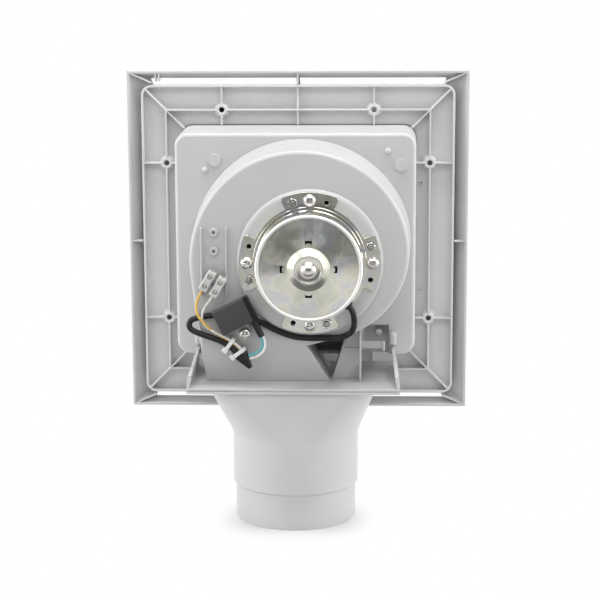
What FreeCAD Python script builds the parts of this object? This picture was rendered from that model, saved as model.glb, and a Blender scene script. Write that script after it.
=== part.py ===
import FreeCAD, Part
import math
import os

V = FreeCAD.Vector

# Wall exhaust fan with a round duct outlet, in millimetres.
# X runs to the right as seen from the wall side, Y points into the room and Z points up.
# The origin is the centre of the wall plane, where the frame's rim touches the wall.

# Clearances shared by the fits
FIT = 0.05
PLAY = 0.3
RUNNING = 0.03

# How far a piece sinks into what it is joined to, and how close counts as touching
EMBED = 0.1
TOUCH = 0.01

# Proportions of a pan head screw, and how round the ends of posts are
SCREW_HEAD = 2.3
SCREW_HEAD_HEIGHT = 0.7
SCREW_HEAD_ROUND = 0.3
SCREW_SLOT = 0.26
SCREW_SLOT_REACH = 0.32
ROUND_SHARE = 0.4

# Front cover, a square tray with leaning borders
COVER_SIDE = 290.0
COVER_DEPTH = 32.0
COVER_WALL = 2.2
COVER_LEAN_X = 20.0
COVER_LEAN_Z = 13.5
COVER_POST_D = 8.0
COVER_POST_INSET = (31.0, 23.0)
COVER_RIB_HEIGHT = 7.0
COVER_RIB_WALL = 1.5
INTAKE_MARGIN = 19.5
INTAKE_BRIDGE = 3.0
COVER_TAB_INSETS = (24.7, 27.5)
COVER_TAB_REACH = 8.0

# Mounting frame, a ribbed plate that lies on the wall
RIM_GAP = 12.0
RIM_CORNER = 9.0
RIM_WALL = 2.0
RIM_DEPTH = 8.0
PLATE = 2.5
RIB_WALL = 1.6
MID_RIB_SHARE = 0.3913
WALL_SCREW_Z = 67.0
TOP_SCREW_X = 64.5
SCREW_BOSS_D = 9.2
SCREW_BOSS_FOOT_D = 14.0
SCREW_HOLE_D = 4.6

# Fan box, which goes into the wall and stands round the scroll with a gap
BOX_SIDE_GAP = 9.5
BOX_TOP_GAP = 9.9
BOX_BOTTOM = -86.0
BOX_DEPTH = 60.0
BOX_CORNER = 11.0
BOX_WALL = 2.5
BOX_SPREAD = 1.8
BOX_EDGE_ROUND = 3.4
BOX_LIP = 8.0
BOX_LIP_WALL = 2.0
CORNER_SCREW_D = 3.0
RECESS_GAP = 27.5
RECESS_EDGE = 0.2
RECESS_HEIGHT = 25.0
RECESS_DEPTH = 10.0
RECESS_DOME = (2.0, 6.5)
RECESS_DOME_D = 6.0

# Scroll casing round the impeller
SCROLL_X = 5.7
SCROLL_Z = -1.7
SCROLL_R = 89.0
SCROLL_BACK = -106.0
SCROLL_FRONT = -38.0
SCROLL_WALL = 2.5
SCROLL_EDGE_ROUND = 3.8
TONGUE_ARC_R = 71.9
TONGUE_ARC_FROM = 30.0
TONGUE_ARC_TO = -75.0
DUCT_LEFT_ANGLE = 187.5
DUCT_RIGHT_X = 29.0
DUCT_RIGHT_LEAN = 31.0
DUCT_BOTTOM = -100.5
DUCT_SLOPE_DROP = 3.4
DUCT_SLOPE_IN = 10.0
DUCT_FRONT_STEP = 6.0
EAR_D = 10.0
EAR_WALL = 3.0
PIN_D = 5.0
BOSS_HEIGHT = 3.0
WEB_X = 53.5
WEB_WIDTH = 14.0
WEB_TOP = -74.8
WEB_Y = -86.0
WEB_SLANT = 8.0
WEB_RIB_STEP = 6.0
LATCH_Y = -80.0
LATCH_Z = -74.0
LATCH_HEIGHT = 6.0
LATCH_LENGTH = 20.0
LATCH_WALL = 2.0
LATCH_HOOK = 3.0

# Motor, on the impeller's axis
AXIS_X = 13.2
AXIS_Z = -1.7
COLLAR_EDGE = 2.0
COLLAR_HEIGHT = 4.5
COLLAR_ROUND = 2.6
MOTOR_HOLE_GAP = 3.0
SHELL_WALL = 1.0
FLANGE_WALL = 1.2
FLANGE_EDGE = 2.0
PETAL_REACH = 11.5
PETAL_HALF_ANGLE = 24.5
PETAL_ROUND = 3.0
PETAL_SCREW_OUT = 4.9
PETAL_STEP = 15.5
MOTOR_SCREW_D = 4.0
BOLT_HEAD = 2.0
BOLT_END = 1.2
MOTOR_NUT_FLATS = 7.0
MOTOR_NUT_HEIGHT = 3.0
FRONT_SHELL_STEP = 1.0
FRONT_SHELL_DEPTH = 18.0
CAN_LIP_D = 90.0
CAN_LIP = 3.0
CAN_DEPTH = 28.5
CAN_DISH = 1.6
CAN_CROWN = 5.0
CAN_BEAD = 2.4
CAN_BEAD_FOOT = 1.3
CAN_BEAD_SHAPE = ((0.0, 0.5), (0.3, 0.15), (0.6, 0.0), (1.0, 0.2))
BOSS_BASE_D = 33.0
BOSS_TOP_D = 22.0
BOSS_RISE = 3.0
DOME_D = 13.0
DOME_RISE = 4.5
DOME_SHAPE = ((0.92, 0.45), (0.6, 0.15))
CAN_SLOT_R = 21.0
CAN_SLOT = (5.4, 2.6)
GROMMET_D = 7.0
GROMMET_FLANGE = 1.0
GROMMET_WALL = 1.6
LEAD_ANGLE = -47.0
LEAD_EXIT_Y = -119.0
LEAD_EXIT_OUT = 1.0
LEAD_STRAIGHT = 3.95
SHAFT_D = 8.0
SHAFT_REACH = 50.0
SHAFT_CHAMFER = 0.6
SHAFT_CLEAR = 1.0
SHAFT_SET = 0.5
BEARING_D = 16.0
BEARING_LENGTH = 7.0
BEARING_CHAMFER = 0.4
RETAINER_WALL = 0.6
STATOR_RING = 16.5
STATOR_LENGTH = 20.0
STATOR_SLOTS = 8
STATOR_SLOT_D = 8.4
AIR_GAP = 0.5
COIL_HEIGHT = 5.5
COIL_MARGIN = 3.0
COIL_ROUND = 1.8

# Impeller
IMPELLER_D = 115.0
BLADE_COUNT = 36
BLADE_DEPTH = 10.5
BLADE_WALL = 1.2
BLADE_SWEEP = 7.5
BLADE_CURVE = 0.3
BLADE_INSET = 0.2
IMPELLER_BACK_GAP = 4.5
IMPELLER_LENGTH = 52.0
IMPELLER_WALL = 1.8
DISH_GAP = 3.5
HUB_D = 21.0
HUB_LENGTH = 18.0
HUB_TAPER = 1.0
BUSH_D = 13.0
NUT_FLATS = 16.0
NUT_HEIGHT = 5.0

# Inlet ring
INLET_WALL = 2.5
INLET_GAP = 1.5
INLET_LIP = 10.0
INLET_SCREW_D = 3.0
INLET_SCREW_LENGTH = 10.0
INLET_PILLAR_D = 8.0

# Outlet adapter
OUTLET_Y = -72.0
OUTLET_PLATE = 4.5
OUTLET_PLATE_INSET = 4.0
OUTLET_PLATE_Y = 107.0
OUTLET_GROOVE = 0.9
NECK_X = 136.0
NECK_SHIFT = -1.2
NECK_Y = 100.0
NECK_CORNER = 24.0
NECK_FLAT_ANGLE = 12.0
NECK_HEIGHT = 41.5
COLLAR_TUBE_D = 103.0
COLLAR_TUBE_LENGTH = 42.0
SPIGOT_D = 98.8
SPIGOT_LENGTH = 28.3
SPIGOT_STEP = 2.0
TUBE_WALL = 2.2
ARM_WALL = 2.5
ARM_LEAN = 9.0
ARM_TOP = -78.0
ARM_EDGE = 10.5
ARM_TIP = 1.0
HOOK_D = 6.0
HOOK_HEIGHT = 7.8
HOOK_LENGTH = 10.8

# Back draught damper in the spigot
DAMPER_DROP = 18.5
DAMPER_PIN_D = 3.0
DAMPER_PIN_SET = 1.0
DAMPER_BOSS_D = 8.0
DAMPER_R = 45.0
FLAP_WALL = 1.2
FLAP_OFFSET = 1.3
KNUCKLE_D = 6.0
SEAT_INNER_D = 86.0
SEAT_HEIGHT = 2.0

# Wiring on the scroll's back
CHANNEL_INSETS = (10.3, 30.1)
CHANNEL_Z = (-29.0, 26.0)
CHANNEL_HEIGHT = 4.0
RING_BOSS_Z = (22.2, 7.2)
RING_BOSS_D = 6.8
RING_BOSS_HOLE_D = 2.7
CAPACITOR_X = 30.5
CAPACITOR_Z = 20.4
CAPACITOR_DEPTH = 10.5
CAPACITOR_ROUND = 0.8
CAPACITOR_AT = (-46.2, -42.7)
CAPACITOR_TURN = 26.5
CAPACITOR_LIFT = 5.6
CAPACITOR_BOSS_D = 9.6
CAPACITOR_EAR = 12.0
CAPACITOR_EAR_OUT = 7.2
CAPACITOR_EAR_WALL = 1.6
SLEEVE_ALONG = 11.5
SLEEVE_LENGTH = 14.6
SLEEVE_D = (6.0, 4.9)
TERMINAL_AT = (-63.5, -17.7)
TERMINAL_TURN = -30.5
TERMINAL_LENGTH = 17.0
TERMINAL_POLE = 7.2
TERMINAL_PITCH = 9.4
TERMINAL_HEIGHT = 9.5
TERMINAL_WEB = 3.8
TERMINAL_ROUND = 1.2
INSERT_D = 4.9
INSERT_LENGTH = 13.0
INSERT_BORE_D = 2.6
INSERT_SET = 1.15
CLAMP_D = 3.0
CLAMP_STEP = 4.2
CLAMP_CLEAR = 0.4
CLAMP_SET = 0.5
CLAMP_LENGTH = 2.4
CLAMP_SLOT = (0.6, 0.8)

# Routes of the lead and the single wires, as corner points that are rounded off
LEAD_D = 4.8
WIRE_D = 2.0
BEND_SHARE = 0.45
MOTOR_LEAD = (
    (48.6, -117.2, -45.5), (48.4, -112.6, -53.5),
    (44.8, -109.6, -60.6), (37.2, -108.9, -64.4), (26.2, -108.8, -64.4), (13.6, -108.8, -64.0),
    (1.0, -108.8, -62.4), (-12.0, -108.8, -57.7), (-25.0, -108.7, -50.3), (-38.5, -108.7, -45.1),
    (-52.0, -108.7, -43.4), (-65.0, -108.9, -43.4), (-74.6, -109.2, -44.4), (-82.6, -109.6, -47.2),
    (-83.4, -109.8, -54.0), (-77.6, -110.1, -58.0), (-70.2, -110.4, -60.6), (-61.8, -110.6, -63.2),
    (-54.0, -110.8, -66.9), (-49.8, -110.9, -70.05), (-46.5, -111.0, -73.0), (-43.5, -111.0, -77.0),
)
LIVE_WIRE = (
    (-70.6, -113.6, -20.5), (-74.4, -113.6, -26.95), (-77.2, -113.6, -34.2), (-76.6, -113.8, -41.6),
    (-72.0, -113.8, -48.2), (-65.5, -113.4, -55.0), (-58.5, -112.2, -60.3), (-52.0, -110.6, -64.2),
    (-47.6, -110.0, -67.3), (-43.7, -110.1, -70.9), (-40.7, -110.1, -74.9),
)
NEUTRAL_WIRE = (
    (-62.5, -113.6, -25.3), (-66.05, -113.6, -31.35), (-70.3, -115.4, -36.6), (-72.8, -116.6, -42.6),
    (-72.3, -116.8, -49.2), (-67.8, -116.6, -53.8), (-60.8, -115.0, -57.6), (-53.6, -112.5, -61.6),
    (-47.0, -112.2, -65.8), (-42.58, -112.2, -70.06), (-39.58, -112.2, -74.06),
)
CAPACITOR_WIRE_TEAL = (
    (-25.88, -116.85, -60.29), (-24.58, -116.85, -62.9), (-24.3, -116.2, -67.2), (-26.3, -115.3, -71.2),
    (-30.2, -114.2, -74.0), (-33.4, -113.4, -75.0), (-35.7, -112.6, -75.9),
)
CAPACITOR_WIRE_WHITE = (
    (-23.92, -116.85, -59.31), (-22.58, -116.85, -62.0), (-22.0, -116.4, -67.4), (-24.2, -115.6, -72.9),
    (-29.0, -114.6, -76.6), (-32.4, -113.6, -77.8), (-34.8, -112.6, -78.6),
)

# Ties and end cap, each with its place on the lead and the way the lead runs there
BUNDLE_WIDTH = 4.2
BUNDLE_R = 2.75
TIES = (
    ((-51.9, -110.85, -68.5), (0.8, -0.6)),
    ((-45.0, -111.0, -75.0), (0.6, -0.8)),
)
TIE_WALL = 1.1
TIE_WIDTH = 3.0
TIE_HEAD = (3.4, 4.4, 4.4)
TIE_HEAD_ROUND = 0.5
SPLICE_START = (-43.5, -111.0, -77.0)
SPLICE_ALONG = (0.6, -0.8)
SPLICE_LENGTH = 13.0
SPLICE_TIP = (1.5, 0.8)
SPLICE_SHIFT = 1.26

# Fixings near the box's corners: side, how far in from that side and how far down from the top
EAR_INSETS = ((-1, 33.2, 21.9), (1, 12.4, 26.0))
PIN_INSETS = ((-1, 24.9, 30.1), (1, 23.0, 14.7))
INLET_TOP_INSETS = ((-1, 16.5, 15.2), (1, 14.5, 14.2))
INLET_FOOT_INSET = (5.8, 14.0)

# Sizes that follow from the scroll and the cover
BOX_WIDTH = 2 * (SCROLL_R + BOX_SIDE_GAP)
BOX_TOP = SCROLL_Z + SCROLL_R + BOX_TOP_GAP
RIM_SIDE = COVER_SIDE - 2 * RIM_GAP
MID_RIB_SIDE = BOX_WIDTH + MID_RIB_SHARE * (RIM_SIDE - BOX_WIDTH)
OUTLET_PLATE_X = 2 * (SCROLL_R - OUTLET_PLATE_INSET)
TONGUE_RISE = (SCROLL_R - TONGUE_ARC_R) * math.sin(math.radians(TONGUE_ARC_FROM))
TONGUE_DROP = TONGUE_ARC_R * math.sin(math.radians(TONGUE_ARC_TO))
DUCT_SLOPE_TOP = SCROLL_Z + TONGUE_RISE + TONGUE_DROP - DUCT_SLOPE_DROP
DUCT_FRONT_TOP = DUCT_SLOPE_TOP - DUCT_FRONT_STEP
CHANNEL_X = [SCROLL_X - SCROLL_R + inset for inset in CHANNEL_INSETS]

# Sizes that follow from the motor's rolled lip
CAN_D = CAN_LIP_D - 2 * CAN_LIP
FRONT_SHELL_D = CAN_D - 2 * FRONT_SHELL_STEP
MOTOR_HOLE_D = FRONT_SHELL_D + 2 * MOTOR_HOLE_GAP
STATOR_BORE_D = FRONT_SHELL_D - 2 * STATOR_RING
FLANGE_D = CAN_LIP_D + 2 * FLANGE_EDGE
PETAL_D = CAN_LIP_D + 2 * PETAL_REACH
PETAL_SCREW_R = CAN_LIP_D / 2 + PETAL_SCREW_OUT
COLLAR_D = PETAL_D + 2 * COLLAR_EDGE
LEAD_EXIT_R = CAN_LIP_D / 2 + LEAD_EXIT_OUT

# Places along Y that several pieces share
PLATE_FRONT = RIM_DEPTH + PLATE
LIP_FRONT = PLATE_FRONT + BOX_LIP_WALL
BOX_BACK = -BOX_DEPTH
COLLAR_TOP = SCROLL_BACK - COLLAR_HEIGHT
FLANGE_BACK = COLLAR_TOP - FLANGE_WALL
CAN_BACK = FLANGE_BACK - CAN_DEPTH
CAN_FACE = CAN_BACK + CAN_DISH
SHELL_FRONT = COLLAR_TOP + FRONT_SHELL_DEPTH
DAMPER_Z = DUCT_BOTTOM - OUTLET_PLATE - NECK_HEIGHT - DAMPER_DROP


def block(x0, x1, y0, y1, z0, z1):
    return Part.makeBox(x1 - x0, y1 - y0, z1 - z0, V(x0, y0, z0))


def disc(x, z, diameter, y0, y1):
    return Part.makeCylinder(diameter / 2, y1 - y0, V(x, y0, z), V(0, 1, 0))


def ring(x, z, outer, inner, y0, y1):
    return disc(x, z, outer, y0, y1).cut(disc(x, z, inner, y0, y1))


def join(*shapes):
    return shapes[0].multiFuse(list(shapes[1:])).removeSplitter()


def rounded_rectangle(x0, x1, z0, z1, radius, y):
    """Closed wire in the plane of constant Y, with round corners."""
    k = radius * (1 - math.sqrt(0.5))
    edges = []
    for (ax, az), (bx, bz), (cx, cz), (dx, dz) in (
        ((x0 + radius, z0), (x1 - radius, z0), (x1 - k, z0 + k), (x1, z0 + radius)),
        ((x1, z0 + radius), (x1, z1 - radius), (x1 - k, z1 - k), (x1 - radius, z1)),
        ((x1 - radius, z1), (x0 + radius, z1), (x0 + k, z1 - k), (x0, z1 - radius)),
        ((x0, z1 - radius), (x0, z0 + radius), (x0 + k, z0 + k), (x0 + radius, z0)),
    ):
        edges.append(Part.LineSegment(V(ax, y, az), V(bx, y, bz)).toShape())
        edges.append(Part.Arc(V(bx, y, bz), V(cx, y, cz), V(dx, y, dz)).toShape())
    return Part.Wire(edges)


def polygon(points):
    return Part.makePolygon(points + [points[0]])


def spot(point, y):
    """A point of the XZ plane at a depth."""
    return V(point[0], y, point[1])


def flat_edges(shape):
    return [e for e in shape.Edges if e.BoundBox.YLength < TOUCH]


def edges_at(shape, y):
    return [e for e in flat_edges(shape) if abs(e.BoundBox.YMin - y) < 2 * TOUCH]


def prism(wire, along):
    return Part.Face(wire).extrude(along)


def bar(start, end, width, y0, y1):
    """Straight rib of the given width between two points of the XZ plane."""
    dx = end[0] - start[0]
    dz = end[1] - start[1]
    length = math.hypot(dx, dz)
    nx = -dz / length * width / 2
    nz = dx / length * width / 2
    corners = [
        V(start[0] + nx, y0, start[1] + nz),
        V(end[0] + nx, y0, end[1] + nz),
        V(end[0] - nx, y0, end[1] - nz),
        V(start[0] - nx, y0, start[1] - nz),
    ]
    return prism(polygon(corners), V(0, y1 - y0, 0))


def turned(profile, x, z):
    """Solid of revolution round the Y line through x and z, from (radius, y) points."""
    wire = polygon([V(x + r, y, z) for r, y in profile])
    return Part.Face(wire).revolve(V(x, 0, z), V(0, 1, 0), 360)


def polar(x, z, radius, degrees):
    a = math.radians(degrees)
    return x + radius * math.cos(a), z + radius * math.sin(a)


def turn(shape, x, z, degrees):
    """Copy of a shape turned about the Y line through x and z, anticlockwise from the wall side."""
    copy = shape.copy()
    copy.rotate(V(x, 0, z), V(0, 1, 0), -degrees)
    return copy


def hexagon(x, z, flats, y0, y1):
    corner = flats / math.sqrt(3)
    points = [polar(x, z, corner, 60 * k) for k in range(6)]
    return prism(polygon([V(px, y0, pz) for px, pz in points]), V(0, y1 - y0, 0))


def pan_screw(x, z, head_y, outward, shank_d, shank):
    """Pan head screw along Y: its head stands outward (+1 or -1) of head_y."""
    head_d = SCREW_HEAD * shank_d
    head_h = SCREW_HEAD_HEIGHT * shank_d
    slot = SCREW_SLOT * shank_d
    top = head_y + outward * head_h
    head = disc(x, z, head_d, min(head_y, top), max(head_y, top))
    head = head.makeFillet(SCREW_HEAD_ROUND * shank_d, edges_at(head, top))
    floor = top - outward * head_h / 2
    low = min(floor, top + outward)
    high = max(floor, top + outward)
    reach = SCREW_SLOT_REACH * head_d
    head = head.cut(block(x - reach, x + reach, low, high, z - slot / 2, z + slot / 2))
    head = head.cut(block(x - slot / 2, x + slot / 2, low, high, z - reach, z + reach))
    tip = head_y - outward * shank
    return join(head, disc(x, z, shank_d, min(head_y, tip), max(head_y, tip)))


def box_side(y, inset):
    """The box's outline at a depth, drawn in by a wall and spreading towards the room."""
    spread = BOX_SPREAD * (y - BOX_BACK) / (PLATE_FRONT - BOX_BACK) - inset
    half = BOX_WIDTH / 2 + spread
    corner = BOX_CORNER - inset
    return rounded_rectangle(-half, half, BOX_BOTTOM - spread, BOX_TOP + spread, corner, y)


def scroll_points(inset):
    """Corner points of the scroll's outline, drawn in by a wall."""
    left = polar(SCROLL_X, SCROLL_Z, SCROLL_R - inset, DUCT_LEFT_ANGLE)
    meet = polar(SCROLL_X, SCROLL_Z, SCROLL_R - inset, TONGUE_ARC_FROM)
    arc = polar(SCROLL_X, SCROLL_Z, SCROLL_R - TONGUE_ARC_R, TONGUE_ARC_FROM)
    end = polar(arc[0], arc[1], TONGUE_ARC_R - inset, TONGUE_ARC_TO)
    lean = math.radians(DUCT_LEFT_ANGLE - 180)
    drop = left[1] - DUCT_BOTTOM
    low_left = (left[0] + drop * math.tan(lean), DUCT_BOTTOM)
    wall = math.radians(DUCT_RIGHT_LEAN)
    low_right = (DUCT_RIGHT_X - inset / math.cos(wall), DUCT_BOTTOM)
    slope = math.radians(TONGUE_ARC_TO)
    ex, ez = math.sin(slope), -math.cos(slope)
    wx, wz = -math.sin(wall), math.cos(wall)
    along = ((low_right[0] - end[0]) * wz - (low_right[1] - end[1]) * wx) / (ex * wz - ez * wx)
    tongue = (end[0] + along * ex, end[1] + along * ez)
    return left, meet, arc, end, tongue, low_left, low_right


def scroll_outline(inset, y):
    left, meet, arc, end, tongue, low_left, low_right = scroll_points(inset)
    top = polar(SCROLL_X, SCROLL_Z, SCROLL_R - inset, (DUCT_LEFT_ANGLE + TONGUE_ARC_FROM) / 2)
    side = polar(arc[0], arc[1], TONGUE_ARC_R - inset, (TONGUE_ARC_FROM + TONGUE_ARC_TO) / 2)
    left, meet, end, tongue = spot(left, y), spot(meet, y), spot(end, y), spot(tongue, y)
    low_left, low_right = spot(low_left, y), spot(low_right, y)
    return Part.Wire([
        Part.LineSegment(low_left, left).toShape(),
        Part.Arc(left, spot(top, y), meet).toShape(),
        Part.Arc(meet, spot(side, y), end).toShape(),
        Part.LineSegment(end, tongue).toShape(),
        Part.LineSegment(tongue, low_right).toShape(),
        Part.LineSegment(low_right, low_left).toShape(),
    ])


def duct_wedge(step):
    """What is cut off behind the outlet duct's sloping back wall, which stands in by a step."""
    run = DUCT_SLOPE_TOP - DUCT_BOTTOM
    slope = DUCT_SLOPE_IN / run
    over = SCROLL_WALL
    low = DUCT_BOTTOM - over
    profile = [
        V(-COVER_SIDE, SCROLL_BACK + step, DUCT_SLOPE_TOP),
        V(-COVER_SIDE, SCROLL_BACK + step + DUCT_SLOPE_IN + over * slope, low),
        V(-COVER_SIDE, SCROLL_BACK - over, low),
        V(-COVER_SIDE, SCROLL_BACK - over, DUCT_SLOPE_TOP),
    ]
    return prism(polygon(profile), V(2 * COVER_SIDE, 0, 0))


def cover_section(y, inset):
    share = y / COVER_DEPTH
    half_x = COVER_SIDE / 2 - COVER_LEAN_X * share - inset
    half_z = COVER_SIDE / 2 - COVER_LEAN_Z * share - inset
    corners = ((-half_x, -half_z), (half_x, -half_z), (half_x, half_z), (-half_x, half_z))
    return polygon([spot(corner, y) for corner in corners])


def between_sides(y):
    """Section between the cover's leaning side borders, open to top and bottom."""
    half = COVER_SIDE / 2 - COVER_LEAN_X * y / COVER_DEPTH - COVER_WALL
    corners = ((-half, -COVER_SIDE), (half, -COVER_SIDE), (half, COVER_SIDE), (-half, COVER_SIDE))
    return polygon([spot(corner, y) for corner in corners])


def front_cover():
    """Square tray: four leaning borders, a flat front, air slots at top and bottom, ribs and posts."""
    face_in = COVER_DEPTH - COVER_WALL
    outer = Part.makeLoft([cover_section(0, 0), cover_section(COVER_DEPTH, 0)], True, True)
    inner = Part.makeLoft([cover_section(0, COVER_WALL), cover_section(face_in, COVER_WALL)], True, True)
    cover = outer.cut(inner)
    reach = COVER_SIDE / 2
    half = reach - INTAKE_MARGIN
    low_z = reach - COVER_LEAN_Z - COVER_WALL * 2
    between = Part.makeLoft([between_sides(PLATE_FRONT), between_sides(face_in)], True, True)
    for side in (-1, 1):
        for x0, x1 in ((-half, -INTAKE_BRIDGE / 2), (INTAKE_BRIDGE / 2, half)):
            z0, z1 = sorted((side * low_z, side * reach))
            cover = cover.cut(block(x0, x1, PLATE_FRONT, face_in, z0, z1).common(between))
    rim = RIM_SIDE / 2 + PLAY
    edge = COVER_SIDE / 2 - COVER_WALL / 2
    tangent = RIM_SIDE / 2 - RIM_CORNER
    post_x = reach - COVER_POST_INSET[0]
    post_z = reach - COVER_POST_INSET[1]
    pieces = [cover]
    for sx in (-1, 1):
        pieces.append(bar((sx * rim, 0), (sx * edge, 0), COVER_RIB_WALL, 0, COVER_RIB_HEIGHT))
        for sz in (-1, 1):
            stop = (sx * tangent, sz * (rim + COVER_RIB_WALL))
            pieces.append(bar((sx * edge, sz * edge), stop, COVER_RIB_WALL, 0, COVER_RIB_HEIGHT))
            post = disc(sx * post_x, sz * post_z, COVER_POST_D, PLATE_FRONT + PLAY, face_in)
            pieces.append(post)
    for sz in (-1, 1):
        pieces.append(bar((0, sz * rim), (0, sz * edge), COVER_RIB_WALL, 0, COVER_RIB_HEIGHT))
    for x in [inset - reach for inset in COVER_TAB_INSETS]:
        pieces.append(bar((x, edge - COVER_TAB_REACH), (x, edge), COVER_RIB_WALL, 0, COVER_RIB_HEIGHT))
    return join(*pieces).common(outer)


def wall_screw_points():
    side = MID_RIB_SIDE / 2
    return [(sx * side, sz * WALL_SCREW_Z) for sx in (-1, 1) for sz in (-1, 1)]


def top_screw_points():
    return [(sx * TOP_SCREW_X, MID_RIB_SIDE / 2) for sx in (-1, 1)]


def upper_points(insets):
    """Places near the box's upper corners."""
    half = BOX_WIDTH / 2
    return [(side * (half - across), BOX_TOP - down) for side, across, down in insets]


def inlet_screw_points():
    across, up = INLET_FOOT_INSET
    feet = [(side * (BOX_WIDTH / 2 - across), BOX_BOTTOM + up) for side in (1, -1)]
    return upper_points(INLET_TOP_INSETS) + feet


def corner_screw_points():
    """Screws through the box's lip, one near each corner."""
    x = BOX_WIDTH / 2 + BOX_SPREAD + BOX_LIP / 2
    return [(sx * x, z) for sx in (-1, 1) for z in (BOX_BOTTOM / 2, BOX_TOP / 2)]


def mounting_frame():
    """Plate with a deep rim, crossed ribs and the bosses for the wall screws."""
    half = RIM_SIDE / 2
    inner = half - RIM_WALL
    plate = prism(rounded_rectangle(-half, half, -half, half, RIM_CORNER, RIM_DEPTH), V(0, PLATE, 0))
    rim = prism(rounded_rectangle(-half, half, -half, half, RIM_CORNER, 0), V(0, RIM_DEPTH, 0))
    hollow = rounded_rectangle(-inner, inner, -inner, inner, RIM_CORNER - RIM_WALL, 0)
    rim = rim.cut(prism(hollow, V(0, RIM_DEPTH, 0)))
    mid = MID_RIB_SIDE / 2
    box_x = BOX_WIDTH / 2
    out = half - RIM_WALL / 2
    corner = half - RIM_CORNER / 3
    ribs = []
    for s in (-1, 1):
        ribs.append(bar((-mid, s * mid), (mid, s * mid), RIB_WALL, 0, RIM_DEPTH))
        ribs.append(bar((s * mid, -mid), (s * mid, mid), RIB_WALL, 0, RIM_DEPTH))
        upper = (s * (box_x - BOX_CORNER), box_x - BOX_CORNER)
        lower = (s * -BOX_BOTTOM, BOX_BOTTOM)
        ribs.append(bar((s * corner, corner), upper, RIB_WALL, 0, RIM_DEPTH))
        ribs.append(bar((s * corner, -corner), lower, RIB_WALL, 0, RIM_DEPTH))
        for z in (-WALL_SCREW_Z, WALL_SCREW_Z):
            ribs.append(bar((s * box_x, z), (s * out, z), RIB_WALL, 0, RIM_DEPTH))
    for x in (-TOP_SCREW_X, 0, TOP_SCREW_X):
        ribs.append(bar((x, BOX_TOP), (x, out), RIB_WALL, 0, RIM_DEPTH))
        ribs.append(bar((x, BOX_BOTTOM), (x, -out), RIB_WALL, 0, RIM_DEPTH))
    points = wall_screw_points() + top_screw_points()
    foot, top = SCREW_BOSS_FOOT_D / 2, SCREW_BOSS_D / 2
    bosses = [Part.makeCone(top, foot, RIM_DEPTH, V(x, 0, z), V(0, 1, 0)) for x, z in points]
    frame = join(plate, rim, *ribs, *bosses)
    for x, z in points:
        frame = frame.cut(disc(x, z, SCREW_HOLE_D, 0, PLATE_FRONT))
    for x, z in corner_screw_points():
        frame = frame.cut(disc(x, z, CORNER_SCREW_D + 2 * FIT, RIM_DEPTH, PLATE_FRONT))
    opening = Part.makeLoft([box_side(BOX_BACK, -PLAY), box_side(PLATE_FRONT, -PLAY)], True, True)
    return frame.cut(opening)


def hook_x():
    """How far from the middle the outlet's arms end."""
    lean = math.tan(math.radians(ARM_LEAN))
    return OUTLET_PLATE_X / 2 - ARM_WALL / 2 - (ARM_TOP - DUCT_BOTTOM) * lean


def recess_limits():
    """The shallow pocket in the box's back, right of the outlet duct."""
    left = DUCT_RIGHT_X + RECESS_GAP
    right = hook_x() - HOOK_D / 2 - RECESS_EDGE
    return left, right, BOX_BOTTOM, BOX_BOTTOM + RECESS_HEIGHT


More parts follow.
